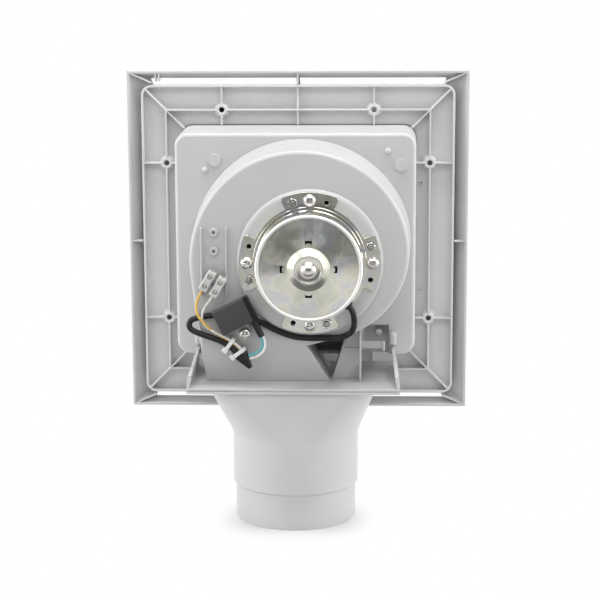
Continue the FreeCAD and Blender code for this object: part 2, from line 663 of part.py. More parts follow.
def fan_box():
    """Open box with a lip at the room side, an opening for the scroll and its outlet duct."""
    outer = Part.makeLoft([box_side(BOX_BACK, 0), box_side(PLATE_FRONT, 0)], True, True)
    outer = outer.makeFillet(BOX_EDGE_ROUND, edges_at(outer, BOX_BACK))
    floor = BOX_BACK + BOX_WALL
    inner = Part.makeLoft([box_side(floor, BOX_WALL), box_side(LIP_FRONT, BOX_WALL)], True, True)
    lip = prism(box_side(PLATE_FRONT, -BOX_LIP), V(0, BOX_LIP_WALL, 0))
    x0, x1, z0, z1 = recess_limits()
    depth = BOX_BACK + RECESS_DEPTH
    out = BOX_WALL
    well = block(x0 - out, x1 + out, floor, depth + out, z0 + out / 2, z1 + out)
    box = join(join(outer, lip).cut(inner), well)
    box = box.cut(block(x0, x1, BOX_BACK, depth, z0 - BOX_WALL, z1))
    wide = BOX_WIDTH
    hole = prism(scroll_outline(-FIT, BOX_BACK), V(0, BOX_WALL, 0))
    duct = prism(scroll_outline(-PLAY, BOX_BACK), V(0, SCROLL_FRONT + PLAY - BOX_BACK, 0))
    duct = duct.common(block(-wide, wide, BOX_BACK, 0, DUCT_BOTTOM, BOX_BOTTOM + BOX_WALL * 2))
    tongue = scroll_points(0)[4]
    pocket_x = WEB_X - WEB_WIDTH
    window = block(tongue[0], pocket_x, BOX_BACK, floor, DUCT_BOTTOM, tongue[1] + SCROLL_WALL * 3)
    box = box.cut(hole).cut(duct).cut(window)
    boss_top = BOX_BACK - BOSS_HEIGHT
    bosses = [disc(x, z, EAR_D, boss_top, BOX_BACK + EMBED) for x, z in upper_points(EAR_INSETS)]
    for x, z in upper_points(PIN_INSETS):
        tip = disc(x, z, PIN_D, boss_top, BOX_BACK + EMBED)
        bosses.append(tip.makeFillet(PIN_D * ROUND_SHARE, edges_at(tip, boss_top)))
    for side in (-1, 1):
        bosses.append(hook_boss(side))
    for x, z in inlet_screw_points():
        bosses.append(disc(x, z, INLET_PILLAR_D, floor - EMBED, SCROLL_FRONT))
    dome_x = (x0 + x1) / 2 + RECESS_DOME[0]
    dome = disc(dome_x, z1 - RECESS_DOME[1], RECESS_DOME_D, BOX_BACK, depth + EMBED)
    bosses.append(dome.makeFillet(RECESS_DOME_D * ROUND_SHARE, edges_at(dome, BOX_BACK)))
    box = join(box, *bosses)
    for x, z in upper_points(EAR_INSETS):
        box = box.cut(disc(x, z, CORNER_SCREW_D + 2 * FIT, BOX_BACK - BOSS_HEIGHT / 2, floor))
    for x, z in corner_screw_points():
        box = box.cut(disc(x, z, CORNER_SCREW_D + 2 * FIT, PLATE_FRONT, LIP_FRONT))
    screw_end = SCROLL_FRONT + INLET_WALL - INLET_SCREW_LENGTH
    for x, z in inlet_screw_points():
        box = box.cut(disc(x, z, INLET_SCREW_D + 2 * FIT, screw_end, SCROLL_FRONT))
    return box


def hook_boss(side):
    """Rounded post on the box's back that the end of an outlet arm hooks over."""
    x = side * hook_x()
    z0 = ARM_TOP + 3 * PLAY
    y0 = BOX_BACK - HOOK_HEIGHT
    post = block(x - HOOK_D / 2, x + HOOK_D / 2, y0, BOX_BACK + EMBED, z0, z0 + HOOK_LENGTH)
    edges = [e for e in post.Edges if e.BoundBox.YMax < BOX_BACK or e.BoundBox.YLength > HOOK_HEIGHT]
    return post.makeFillet(HOOK_D * ROUND_SHARE, edges)


def scroll_casing():
    """Drum round the impeller with its outlet duct, the motor's collar and the wiring's ribs and bosses."""
    length = SCROLL_FRONT - SCROLL_BACK
    outer = prism(scroll_outline(0, SCROLL_BACK), V(0, length, 0))
    rim = [e for e in edges_at(outer, SCROLL_BACK) if e.BoundBox.ZMax > DUCT_BOTTOM + 2 * TOUCH]
    outer = outer.makeFillet(SCROLL_EDGE_ROUND, rim).cut(duct_wedge(0))
    inside = prism(scroll_outline(SCROLL_WALL, SCROLL_BACK + SCROLL_WALL), V(0, length - SCROLL_WALL, 0))
    inside = inside.cut(duct_wedge(SCROLL_WALL))
    wide = BOX_WIDTH
    front = block(-wide, wide, SCROLL_FRONT - SCROLL_WALL, SCROLL_FRONT, DUCT_BOTTOM, DUCT_FRONT_TOP)
    collar = disc(AXIS_X, AXIS_Z, COLLAR_D, COLLAR_TOP, SCROLL_BACK + EMBED)
    collar = collar.makeFillet(COLLAR_ROUND, edges_at(collar, COLLAR_TOP))
    pieces = [outer, collar]
    channel_top = SCROLL_BACK - CHANNEL_HEIGHT
    for x in CHANNEL_X:
        half = RIB_WALL / 2
        pieces.append(block(x - half, x + half, channel_top, SCROLL_BACK + EMBED, *CHANNEL_Z))
    middle = sum(CHANNEL_X) / 2
    for z in RING_BOSS_Z:
        pieces.append(disc(middle, z, RING_BOSS_D, SCROLL_BACK - BOSS_HEIGHT, SCROLL_BACK + EMBED))
    ex, ez = capacitor_screw_point()
    pieces.append(disc(ex, ez, CAPACITOR_BOSS_D, SCROLL_BACK - CAPACITOR_LIFT, SCROLL_BACK + EMBED))
    ear_back = BOX_BACK + BOX_WALL
    for x, z in upper_points(EAR_INSETS):
        pieces.append(disc(x, z, EAR_D, ear_back, ear_back + EAR_WALL))
        pieces.append(bar((x, z), (SCROLL_X, SCROLL_Z), EAR_D, ear_back, ear_back + EAR_WALL))
    pieces += side_walls()
    casing = join(*pieces).cut(inside.cut(front))
    holes = [disc(AXIS_X, AXIS_Z, MOTOR_HOLE_D, COLLAR_TOP, SCROLL_BACK + SCROLL_WALL)]
    for x, z in motor_screw_points() + motor_bolt_points() + petal_hole_points():
        holes.append(disc(x, z, MOTOR_SCREW_D + 2 * FIT, COLLAR_TOP, SCROLL_BACK + SCROLL_WALL))
    for z in RING_BOSS_Z:
        holes.append(disc(middle, z, RING_BOSS_HOLE_D, SCROLL_BACK - BOSS_HEIGHT, SCROLL_BACK))
    holes.append(disc(ex, ez, MOTOR_SCREW_D + 2 * FIT, SCROLL_BACK - CAPACITOR_LIFT, SCROLL_BACK))
    for x, z in upper_points(EAR_INSETS):
        holes.append(disc(x, z, CORNER_SCREW_D + 2 * FIT, ear_back, ear_back + EAR_WALL))
    for hole in holes:
        casing = casing.cut(hole)
    return casing


def side_walls():
    """Upright rib, web, pocket wall and latch bar right of the outlet duct."""
    points = scroll_points(SCROLL_WALL / 2)
    arc, end = points[2], points[3]
    reach = math.sqrt((TONGUE_ARC_R - SCROLL_WALL / 2) ** 2 - (WEB_X - arc[0]) ** 2)
    rib_top = arc[1] - reach
    back = BOX_BACK - PLAY
    rib = bar((WEB_X, DUCT_BOTTOM), (WEB_X, rib_top), RIB_WALL, SCROLL_BACK + WEB_RIB_STEP, back)
    start = (WEB_X - WEB_WIDTH, WEB_TOP)
    foot = (start[0] - WEB_SLANT, DUCT_BOTTOM)
    web = prism(polygon([
        V(foot[0], WEB_Y, foot[1]),
        V(WEB_X, WEB_Y, DUCT_BOTTOM),
        V(WEB_X, WEB_Y, WEB_TOP),
        V(start[0], WEB_Y, WEB_TOP),
    ]), V(0, RIB_WALL, 0))
    lean = WEB_SLANT / (WEB_TOP - DUCT_BOTTOM)
    head_z = end[1]
    head = (start[0] + (head_z - WEB_TOP) * lean, head_z)
    pocket = bar(foot, head, RIB_WALL, WEB_Y, back)
    pocket = pocket.cut(block(0, WEB_X, WEB_Y, back, DUCT_BOTTOM - RIB_WALL, DUCT_BOTTOM))
    low = LATCH_Z - LATCH_HEIGHT / 2
    high = LATCH_Z + LATCH_HEIGHT / 2
    tip = WEB_X + LATCH_LENGTH
    front = LATCH_Y + LATCH_WALL
    latch = block(WEB_X, tip, LATCH_Y, front, low, high)
    hook = block(tip - LATCH_WALL, tip, LATCH_Y - LATCH_HOOK, front, low - LATCH_HOOK / 2, high)
    return [rib, web, pocket, latch, hook]


def motor_screw_points():
    return [polar(AXIS_X, AXIS_Z, PETAL_SCREW_R, 90 * k) for k in range(4)]


def motor_bolt_points():
    return [polar(AXIS_X, AXIS_Z, PETAL_SCREW_R, 90 * k + PETAL_STEP) for k in range(4)]


def petal_hole_points():
    return [polar(AXIS_X, AXIS_Z, PETAL_SCREW_R, 90 * k - PETAL_STEP) for k in range(4)]


def motor_front_shell():
    """Drawn half shell: a flange with four petals and a cup that reaches into the drum."""
    flange = disc(AXIS_X, AXIS_Z, FLANGE_D, FLANGE_BACK, COLLAR_TOP)
    petals = disc(AXIS_X, AXIS_Z, PETAL_D, FLANGE_BACK, COLLAR_TOP)
    wedges = []
    for k in range(4):
        a = polar(AXIS_X, AXIS_Z, PETAL_D, 90 * k - PETAL_HALF_ANGLE)
        b = polar(AXIS_X, AXIS_Z, PETAL_D, 90 * k + PETAL_HALF_ANGLE)
        corners = [V(AXIS_X, FLANGE_BACK, AXIS_Z), V(a[0], FLANGE_BACK, a[1]), V(b[0], FLANGE_BACK, b[1])]
        wedges.append(prism(polygon(corners), V(0, FLANGE_WALL, 0)))
    petals = petals.common(join(*wedges))
    tips = []
    for e in petals.Edges:
        radius = math.hypot(e.CenterOfMass.x - AXIS_X, e.CenterOfMass.z - AXIS_Z)
        if e.BoundBox.YLength > TOUCH and radius > FLANGE_D / 2:
            tips.append(e)
    petals = petals.makeFillet(PETAL_ROUND, tips)
    outer = FRONT_SHELL_D / 2
    inner = outer - SHELL_WALL
    seat = BEARING_D / 2 + FIT
    pocket = SHELL_FRONT - BEARING_LENGTH
    eye = SHAFT_D / 2 + SHAFT_CLEAR
    inside = SHELL_FRONT - SHELL_WALL
    cup = turned([
        (inner, FLANGE_BACK), (outer, FLANGE_BACK), (outer, SHELL_FRONT), (eye, SHELL_FRONT),
        (eye, inside), (seat, inside), (seat, pocket),
        (seat + SHELL_WALL, pocket), (seat + SHELL_WALL, inside), (inner, inside),
    ], AXIS_X, AXIS_Z)
    mouth = disc(AXIS_X, AXIS_Z, FRONT_SHELL_D - SHELL_WALL, FLANGE_BACK, COLLAR_TOP)
    shell = join(join(flange, petals).cut(mouth), cup)
    for x, z in motor_screw_points() + motor_bolt_points() + petal_hole_points():
        shell = shell.cut(disc(x, z, MOTOR_SCREW_D + 2 * FIT, FLANGE_BACK, COLLAR_TOP))
    return shell


def crown_y():
    """Where the can's crowned face meets its bearing boss."""
    return CAN_FACE - CAN_CROWN


def rear_seat():
    """Inside of the bearing boss, where the rear bearing stops."""
    return crown_y() - BOSS_RISE + SHELL_WALL


def motor_rear_can():
    """Drawn rear can with a rolled rim, a crowned face with four slots and a domed bearing boss."""
    wall = SHELL_WALL
    outer = CAN_D / 2
    inner = outer - wall
    lip = FLANGE_BACK - wall
    base = BOSS_BASE_D / 2
    top = BOSS_TOP_D / 2
    boss_y = crown_y() - BOSS_RISE
    dome = DOME_D / 2
    dome_y = boss_y - DOME_RISE
    seat = BEARING_D / 2 + FIT
    seat_end = rear_seat() + BEARING_LENGTH
    profile = [(inner, FLANGE_BACK), (CAN_LIP_D / 2, FLANGE_BACK), (CAN_LIP_D / 2, lip), (outer, lip)]
    profile += [(outer - CAN_BEAD * a, CAN_BACK + CAN_BEAD * b) for a, b in CAN_BEAD_SHAPE]
    profile += [(outer - CAN_BEAD * CAN_BEAD_FOOT, CAN_FACE), (base, crown_y()), (top, boss_y)]
    profile += [(dome + wall, boss_y), (dome, boss_y - wall)]
    profile += [(dome * a, dome_y + DOME_RISE * b) for a, b in DOME_SHAPE]
    profile += [(0, dome_y), (0, dome_y + wall), (dome - wall, rear_seat()), (seat, rear_seat())]
    profile += [(seat, seat_end), (seat + wall, seat_end), (top, crown_y() + wall), (inner, CAN_FACE + wall)]
    can = turned(profile, AXIS_X, AXIS_Z)
    half_length, half_width = CAN_SLOT[0] / 2, CAN_SLOT[1] / 2
    mid = AXIS_Z + CAN_SLOT_R
    low, high = crown_y() - wall, CAN_FACE + 2 * wall
    slot = block(AXIS_X - half_length, AXIS_X + half_length, low, high, mid - half_width, mid + half_width)
    for k in range(4):
        can = can.cut(turn(slot, AXIS_X, AXIS_Z, 90 * k))
    return can.cut(lead_cylinder(GROMMET_D / 2 + FIT, outer - 3 * wall, outer + wall))


def lead_cylinder(radius, r0, r1):
    """Round bar that stands out of the can's side where the lead leaves it."""
    x, z = polar(AXIS_X, AXIS_Z, r0, LEAD_ANGLE)
    dx, dz = polar(0, 0, 1, LEAD_ANGLE)
    return Part.makeCylinder(radius, r1 - r0, V(x, LEAD_EXIT_Y, z), V(dx, 0, dz))


def lead_grommet():
    inner = CAN_D / 2 - SHELL_WALL
    stem = lead_cylinder(GROMMET_D / 2, inner - GROMMET_FLANGE, LEAD_EXIT_R)
    collar = lead_cylinder(GROMMET_D / 2 + GROMMET_FLANGE, CAN_D / 2 + FIT, CAN_D / 2 + GROMMET_WALL)
    curve = disc(AXIS_X, AXIS_Z, CAN_D + 2 * FIT, LEAD_EXIT_Y - GROMMET_D, LEAD_EXIT_Y + GROMMET_D)
    return join(stem, collar.cut(curve))


def motor_shaft():
    front = SHELL_FRONT + SHAFT_REACH - FRONT_SHELL_DEPTH
    shaft = disc(AXIS_X, AXIS_Z, SHAFT_D, rear_seat() + SHAFT_SET, front)
    return shaft.makeChamfer(SHAFT_CHAMFER, flat_edges(shaft))


def stator_start():
    middle = (CAN_FACE + SHELL_FRONT) / 2
    return middle - STATOR_LENGTH / 2


def rotor_core():
    y0 = stator_start()
    core_d = STATOR_BORE_D - 2 * AIR_GAP
    return ring(AXIS_X, AXIS_Z, core_d, SHAFT_D + 2 * FIT, y0, y0 + STATOR_LENGTH)


def stator_core():
    """Laminated ring with open slots for the coils."""
    y0 = stator_start()
    outer = FRONT_SHELL_D - 2 * SHELL_WALL - 2 * FIT
    core = ring(AXIS_X, AXIS_Z, outer, STATOR_BORE_D, y0, y0 + STATOR_LENGTH)
    slot_r = (outer + STATOR_BORE_D) / 4
    for k in range(STATOR_SLOTS):
        x, z = polar(AXIS_X, AXIS_Z, slot_r, 360 / STATOR_SLOTS * (k + 0.5))
        core = core.cut(disc(x, z, STATOR_SLOT_D, y0, y0 + STATOR_LENGTH))
    return core


def stator_windings():
    """Coil heads on both ends of the stator."""
    y0 = stator_start()
    outer = FRONT_SHELL_D - 2 * SHELL_WALL - 2 * COIL_MARGIN
    inner = STATOR_BORE_D + COIL_MARGIN
    ends = []
    for low in (y0 - COIL_HEIGHT, y0 + STATOR_LENGTH):
        head = ring(AXIS_X, AXIS_Z, outer, inner, low, low + COIL_HEIGHT)
        ends.append(head.makeFillet(COIL_ROUND, flat_edges(head)))
    return Part.makeCompound(ends)


def bearing(y0):
    shell = ring(AXIS_X, AXIS_Z, BEARING_D, SHAFT_D + 2 * RUNNING, y0, y0 + BEARING_LENGTH)
    return shell.makeChamfer(BEARING_CHAMFER, flat_edges(shell))


def front_bearing():
    return bearing(SHELL_FRONT - SHELL_WALL - BEARING_LENGTH)


def rear_bearing():
    return bearing(rear_seat())


def bearing_retainers():
    """Spring washers that hold the two bearings in their seats."""
    outer = BEARING_D + 2 * SHELL_WALL
    inner = SHAFT_D + 2 * SHAFT_CLEAR
    rear = rear_seat() + BEARING_LENGTH
    front = SHELL_FRONT - SHELL_WALL - BEARING_LENGTH
    washers = [
        ring(AXIS_X, AXIS_Z, outer, inner, rear, rear + RETAINER_WALL),
        ring(AXIS_X, AXIS_Z, outer, inner, front - RETAINER_WALL, front),
    ]
    return Part.makeCompound(washers)


def motor_screws():
    shank = FLANGE_WALL + COLLAR_HEIGHT + SCROLL_WALL
    points = motor_screw_points()
    return Part.makeCompound([pan_screw(x, z, FLANGE_BACK, -1, MOTOR_SCREW_D, shank) for x, z in points])


def motor_bolts():
    """Bolts with low heads inside the drum, whose ends stand out of the nuts."""
    inside = SCROLL_BACK + SCROLL_WALL
    tip = FLANGE_BACK - MOTOR_NUT_HEIGHT - BOLT_END
    bolts = []
    for x, z in motor_bolt_points():
        head = hexagon(x, z, MOTOR_NUT_FLATS, inside, inside + BOLT_HEAD)
        bolts.append(join(head, disc(x, z, MOTOR_SCREW_D, tip, inside)))
    return Part.makeCompound(bolts)


def motor_nuts():
    top = FLANGE_BACK - MOTOR_NUT_HEIGHT
    nuts = []
    for x, z in motor_bolt_points():
        body = hexagon(x, z, MOTOR_NUT_FLATS, top, FLANGE_BACK)
        nuts.append(body.cut(disc(x, z, MOTOR_SCREW_D + 2 * FIT, top, FLANGE_BACK)))
    return Part.makeCompound(nuts)


def impeller_back():
    return SCROLL_BACK + SCROLL_WALL + IMPELLER_BACK_GAP


def web_back():
    """Back of the impeller's web, in front of the motor."""
    return SHELL_FRONT + DISH_GAP


def impeller():
    """Wheel with a dished back that clears the motor, curved blades and a front ring."""
    outer = IMPELLER_D / 2
    inner = outer - BLADE_DEPTH
    back = impeller_back()
    front = back + IMPELLER_LENGTH
    dish = FRONT_SHELL_D / 2 + DISH_GAP
    web = web_back()
    bore = BUSH_D / 2 + FIT
    body = turned([
        (bore, web), (dish, web), (dish, back), (outer, back), (outer, back + IMPELLER_WALL),
        (dish + IMPELLER_WALL, back + IMPELLER_WALL), (dish + IMPELLER_WALL, web + IMPELLER_WALL),
        (HUB_D / 2 + HUB_TAPER, web + IMPELLER_WALL), (HUB_D / 2, web + HUB_LENGTH), (bore, web + HUB_LENGTH),
    ], AXIS_X, AXIS_Z)
    front_ring = ring(AXIS_X, AXIS_Z, IMPELLER_D, 2 * inner, front - IMPELLER_WALL, front)
    low, mid, high = inner + BLADE_INSET, outer - BLADE_DEPTH / 2, outer - BLADE_INSET
    step = math.degrees(BLADE_WALL / mid)
    y0 = back + IMPELLER_WALL / 2

    def face(turn_by):
        places = ((low, 0), (mid, BLADE_SWEEP * BLADE_CURVE), (high, BLADE_SWEEP))
        return [spot(polar(AXIS_X, AXIS_Z, r, a + turn_by), y0) for r, a in places]

    near = face(0)
    far = face(step)
    wire = Part.Wire([
        Part.Arc(*near).toShape(),
        Part.LineSegment(near[2], far[2]).toShape(),
        Part.Arc(far[2], far[1], far[0]).toShape(),
        Part.LineSegment(far[0], near[0]).toShape(),
    ])
    blade = prism(wire, V(0, IMPELLER_LENGTH - IMPELLER_WALL, 0))
    blades = [turn(blade, AXIS_X, AXIS_Z, 360 / BLADE_COUNT * k) for k in range(BLADE_COUNT)]
    return body.multiFuse([front_ring] + blades)


def impeller_bush():
    return ring(AXIS_X, AXIS_Z, BUSH_D, SHAFT_D + 2 * FIT, web_back(), web_back() + HUB_LENGTH)


def impeller_nut():
    y0 = web_back() + HUB_LENGTH
    nut = hexagon(AXIS_X, AXIS_Z, NUT_FLATS, y0, y0 + NUT_HEIGHT)
    return nut.cut(disc(AXIS_X, AXIS_Z, SHAFT_D + 2 * FIT, y0, y0 + NUT_HEIGHT))


def inlet_ring():
    """Plate across the box that closes the scroll's front, with a bell mouth into the impeller."""
    outline = box_side(SCROLL_FRONT, BOX_WALL + PLAY)
    plate = prism(outline, V(0, INLET_WALL, 0))
    front = SCROLL_FRONT + INLET_WALL
    eye = IMPELLER_D / 2 - BLADE_DEPTH - INLET_GAP
    lip = SCROLL_FRONT - INLET_LIP
    flare = INLET_WALL
    mouth = turned([
        (eye - flare, lip), (eye, lip), (eye, SCROLL_FRONT), (eye + flare, SCROLL_FRONT),
        (eye + flare, front), (eye + flare / 2, front), (eye - flare / 2, SCROLL_FRONT),
        (eye - flare, SCROLL_FRONT - INLET_LIP / 2),
    ], AXIS_X, AXIS_Z)
    plate = join(plate.cut(disc(AXIS_X, AXIS_Z, 2 * eye, SCROLL_FRONT, front)), mouth)
    for x, z in inlet_screw_points():
        plate = plate.cut(disc(x, z, INLET_SCREW_D + 2 * FIT, SCROLL_FRONT, front))
    return plate


def inlet_ring_screws():
    head = SCROLL_FRONT + INLET_WALL
    screws = [pan_screw(x, z, head, 1, INLET_SCREW_D, INLET_SCREW_LENGTH) for x, z in inlet_screw_points()]
    return Part.makeCompound(screws)


def box_screws():
    shank = BOX_LIP_WALL + PLATE
    points = corner_screw_points()
    return Part.makeCompound([pan_screw(x, z, LIP_FRONT, 1, CORNER_SCREW_D, shank) for x, z in points])


def scroll_screws():
    head = BOX_BACK + BOX_WALL + EAR_WALL
    shank = EAR_WALL + BOX_WALL + BOSS_HEIGHT / 2
    points = upper_points(EAR_INSETS)
    return Part.makeCompound([pan_screw(x, z, head, 1, CORNER_SCREW_D, shank) for x, z in points])


def neck_rectangle(inset, z):
    """Eight edges round the neck's top, straight sides and round corners in turn."""
    hx = NECK_X / 2 - inset
    hy = NECK_Y / 2 - inset
    r = NECK_CORNER - inset
    k = r * (1 - math.sqrt(0.5))
    edges = []
    for a, b, c, d in (
        ((-hx + r, -hy), (hx - r, -hy), (hx - k, -hy + k), (hx, -hy + r)),
        ((hx, -hy + r), (hx, hy - r), (hx - k, hy - k), (hx - r, hy)),
        ((hx - r, hy), (-hx + r, hy), (-hx + k, hy - k), (-hx, hy - r)),
        ((-hx, hy - r), (-hx, -hy + r), (-hx + k, -hy + k), (-hx + r, -hy)),
    ):
        a, b, c, d = [V(NECK_SHIFT + x, OUTLET_Y + y, z) for x, y in (a, b, c, d)]
        edges.append(Part.LineSegment(a, b).toShape())
        edges.append(Part.Arc(b, c, d).toShape())
    return Part.Wire(edges)


def neck_circle(radius, z):
    """Circle cut into the same eight edges as the neck's top."""
    half = NECK_FLAT_ANGLE
    edges = []
    for start in (-90, 0, 90, 180):
        for a, b in ((start - half, start + half), (start + half, start + 90 - half)):
            p = [polar(0, OUTLET_Y, radius, t) for t in (a, (a + b) / 2, b)]
            edges.append(Part.Arc(*[V(x, y, z) for x, y in p]).toShape())
    return Part.Wire(edges)


def turned_tube(profile):
    """Solid of revolution round the outlet's upright axis, from (radius, z) points."""
    wire = polygon([V(r, OUTLET_Y, z) for r, z in profile])
    return Part.Face(wire).revolve(V(0, OUTLET_Y, 0), V(0, 0, 1), 360)


def bar_x(x0, x1, diameter, y, z):
    return Part.makeCylinder(diameter / 2, x1 - x0, V(x0, y, z), V(1, 0, 0))


def outlet_arm(side):
    """Leaning cheek from the outlet plate's end up to the hook post on the box."""
    out = OUTLET_PLATE_X / 2
    near = OUTLET_Y - OUTLET_PLATE_Y / 2
    far = OUTLET_Y + OUTLET_PLATE_Y / 2
    back = BOX_BACK - PLAY
    under = BOX_BOTTOM - BOX_SPREAD - PLAY
    x0 = side * out - (ARM_WALL if side > 0 else 0)
    profile = [
        (near, DUCT_BOTTOM), (near, DUCT_BOTTOM + ARM_EDGE), (back - ARM_EDGE / 3, ARM_TOP), (back, ARM_TOP),
        (back, under), (far - ARM_EDGE * 2, DUCT_BOTTOM + ARM_TIP), (far - ARM_EDGE, DUCT_BOTTOM),
    ]
    arm = prism(polygon([V(x0, y, z) for y, z in profile]), V(ARM_WALL, 0, 0))
    return turn(arm, side * out, DUCT_BOTTOM, side * ARM_LEAN)


def outlet_adapter():
    """Plate with a grooved edge, two arms, a neck that turns round and the spigot for the duct."""
    top = DUCT_BOTTOM
    low = top - OUTLET_PLATE
    hx = OUTLET_PLATE_X / 2
    y0 = OUTLET_Y - OUTLET_PLATE_Y / 2
    y1 = OUTLET_Y + OUTLET_PLATE_Y / 2
    plate = block(-hx, hx, y0, y1, low, top)
    g = OUTLET_GROOVE
    middle = (low + top) / 2
    groove = block(-hx, hx, y0, y1, middle - g / 2, middle + g / 2)
    groove = groove.cut(block(-hx + g, hx - g, y0 + g, y1 - g, low, top))
    low_left, low_right = scroll_points(SCROLL_WALL)[5:]
    mouth_back = SCROLL_BACK + DUCT_SLOPE_IN + SCROLL_WALL
    mouth = block(low_left[0], low_right[0], mouth_back, SCROLL_FRONT - SCROLL_WALL, low, top)
    plate = plate.cut(groove).cut(mouth)
    neck_end = low - NECK_HEIGHT
    collar_end = neck_end - COLLAR_TUBE_LENGTH
    step_end = collar_end - SPIGOT_STEP
    end_z = step_end - SPIGOT_LENGTH
    collar_r = COLLAR_TUBE_D / 2
    spigot_r = SPIGOT_D / 2
    wall = TUBE_WALL
    neck = Part.makeLoft([neck_rectangle(0, low), neck_circle(collar_r, neck_end)], True, True)
    hollow = Part.makeLoft([neck_rectangle(wall, low), neck_circle(collar_r - wall, neck_end)], True, True)
    seat_z = DAMPER_Z + FLAP_OFFSET + FLAP_WALL + PLAY
    seat_r = SEAT_INNER_D / 2
    tube = turned_tube([
        (collar_r, neck_end), (collar_r, collar_end), (spigot_r, step_end), (spigot_r, end_z),
        (spigot_r - wall, end_z), (spigot_r - wall, step_end), (collar_r - wall, collar_end),
        (collar_r - wall, seat_z), (seat_r, seat_z), (seat_r, seat_z + SEAT_HEIGHT),
        (collar_r - wall, seat_z + SEAT_HEIGHT), (collar_r - wall, neck_end),
    ])
    shell = join(plate, neck.cut(hollow), tube, outlet_arm(-1), outlet_arm(1))
    for side in (-1, 1):
        x0, x1 = sorted((side * pin_seat(), side * (collar_r - wall / 2)))
        shell = join(shell, bar_x(x0, x1, DAMPER_BOSS_D, OUTLET_Y, DAMPER_Z))
    reach = pin_end()
    return shell.cut(bar_x(-reach, reach, DAMPER_PIN_D + 2 * FIT, OUTLET_Y, DAMPER_Z))


def pin_seat():
    """Inner face of the two bosses that hold the damper's pin."""
    return SEAT_INNER_D / 2 + PLAY


def pin_end():
    return COLLAR_TUBE_D / 2 - TUBE_WALL - DAMPER_PIN_SET


def damper_pin():
    return bar_x(-pin_end(), pin_end(), DAMPER_PIN_D, OUTLET_Y, DAMPER_Z)


def damper_flap(side, knuckles):
    """Half disc that hangs on the pin, in front of it (side 1) or behind it (side -1)."""
    ya, yb = sorted((OUTLET_Y + side * FLAP_OFFSET, OUTLET_Y + side * (FLAP_OFFSET + FLAP_WALL)))
    free = KNUCKLE_D / 2 + 2 * PLAY
    limit = pin_seat() - PLAY
    plate = disc(0, DAMPER_Z, 2 * DAMPER_R, ya, yb)
    plate = plate.common(block(-limit, limit, ya, yb, DAMPER_Z - DAMPER_R, DAMPER_Z - free))
    pieces = [plate]
    for x0, x1 in knuckles:
        pieces.append(bar_x(x0, x1, KNUCKLE_D, OUTLET_Y, DAMPER_Z))
        pieces.append(block(x0, x1, ya, yb, DAMPER_Z - free - FLAP_WALL, DAMPER_Z))
    return join(*pieces).cut(bar_x(-limit, limit, DAMPER_PIN_D + 2 * FIT, OUTLET_Y, DAMPER_Z))


def damper_flap_front():
    inner = DAMPER_R / 3
    outer = pin_seat() - PLAY
    return damper_flap(1, [(-outer, -inner - PLAY), (inner + PLAY, outer)])


def damper_flap_rear():
    inner = DAMPER_R / 3
    return damper_flap(-1, [(-inner + PLAY, inner - PLAY)])


def lead_path(points):
    """Straight runs joined by the largest tangent arcs they leave room for, and the arcs' radii."""
    edges = []
    radii = []
    last = points[0]
    for before, corner, after in zip(points, points[1:], points[2:]):
        u = (corner - before).normalize()
        v = (after - corner).normalize()
        half = u.getAngle(v) / 2
        tangent = BEND_SHARE * min((corner - before).Length, (after - corner).Length)
        radius = tangent / math.tan(half)
        inward = (v - u).normalize()
        start = corner - u * tangent
        end = corner + v * tangent
        middle = corner + inward * (radius / math.cos(half) - radius)
        edges.append(Part.LineSegment(last, start).toShape())
        edges.append(Part.Arc(start, middle, end).toShape())
        radii.append(radius)
        last = end
    edges.append(Part.LineSegment(last, points[-1]).toShape())
    return Part.Wire(edges), radii


def lead(name, route, diameter):
    """Round tube along a route; prints its least bend and its volume against section times length."""
    points = [V(*p) for p in route]
    path, radii = lead_path(points)
    section = Part.Wire([Part.makeCircle(diameter / 2, points[0], points[1] - points[0])])
    tube = path.makePipeShell([section], True, False)
    length = path.Length
    share = tube.Volume / (math.pi * diameter ** 2 / 4 * length)
    print(name, "length", round(length, 1), "least radius", round(min(radii), 1), "share", round(share, 4))
    return tube


def motor_lead():
    start = LEAD_EXIT_R + FIT
    straight = [polar(AXIS_X, AXIS_Z, r, LEAD_ANGLE) for r in (start, start + LEAD_STRAIGHT)]
    route = [(x, LEAD_EXIT_Y, z) for x, z in straight] + list(MOTOR_LEAD)
    return lead("motor_lead", route, LEAD_D)


def live_wire():
    return lead("live_wire", LIVE_WIRE, WIRE_D)


def neutral_wire():
    return lead("neutral_wire", NEUTRAL_WIRE, WIRE_D)


def capacitor_wire_teal():
    return lead("capacitor_wire_teal", CAPACITOR_WIRE_TEAL, WIRE_D)


def capacitor_wire_white():
    return lead("capacitor_wire_white", CAPACITOR_WIRE_WHITE, WIRE_D)


def bundle_section(radius, width, height):
    """Oblong wire round the lead at the origin and the two thin wires beside it."""
    edges = [
        Part.LineSegment(V(0, -radius, height), V(width, -radius, height)).toShape(),
        Part.Arc(V(width, -radius, height), V(width + radius, 0, height), V(width, radius, height)).toShape(),
        Part.LineSegment(V(width, radius, height), V(0, radius, height)).toShape(),
        Part.Arc(V(0, radius, height), V(-radius, 0, height), V(0, -radius, height)).toShape(),
    ]
    return Part.Wire(edges)


def along_lead(shape, centre, along):
    """Sets a shape made along +Z on the lead, with its +X across the bundle."""
    x_axis = V(-along[1], 0, along[0])
    z_axis = V(along[0], 0, along[1])
    turned_to = FreeCAD.Rotation(x_axis, z_axis.cross(x_axis), z_axis, "ZXY")
    shape.Placement = FreeCAD.Placement(V(*centre), turned_to)
    return shape


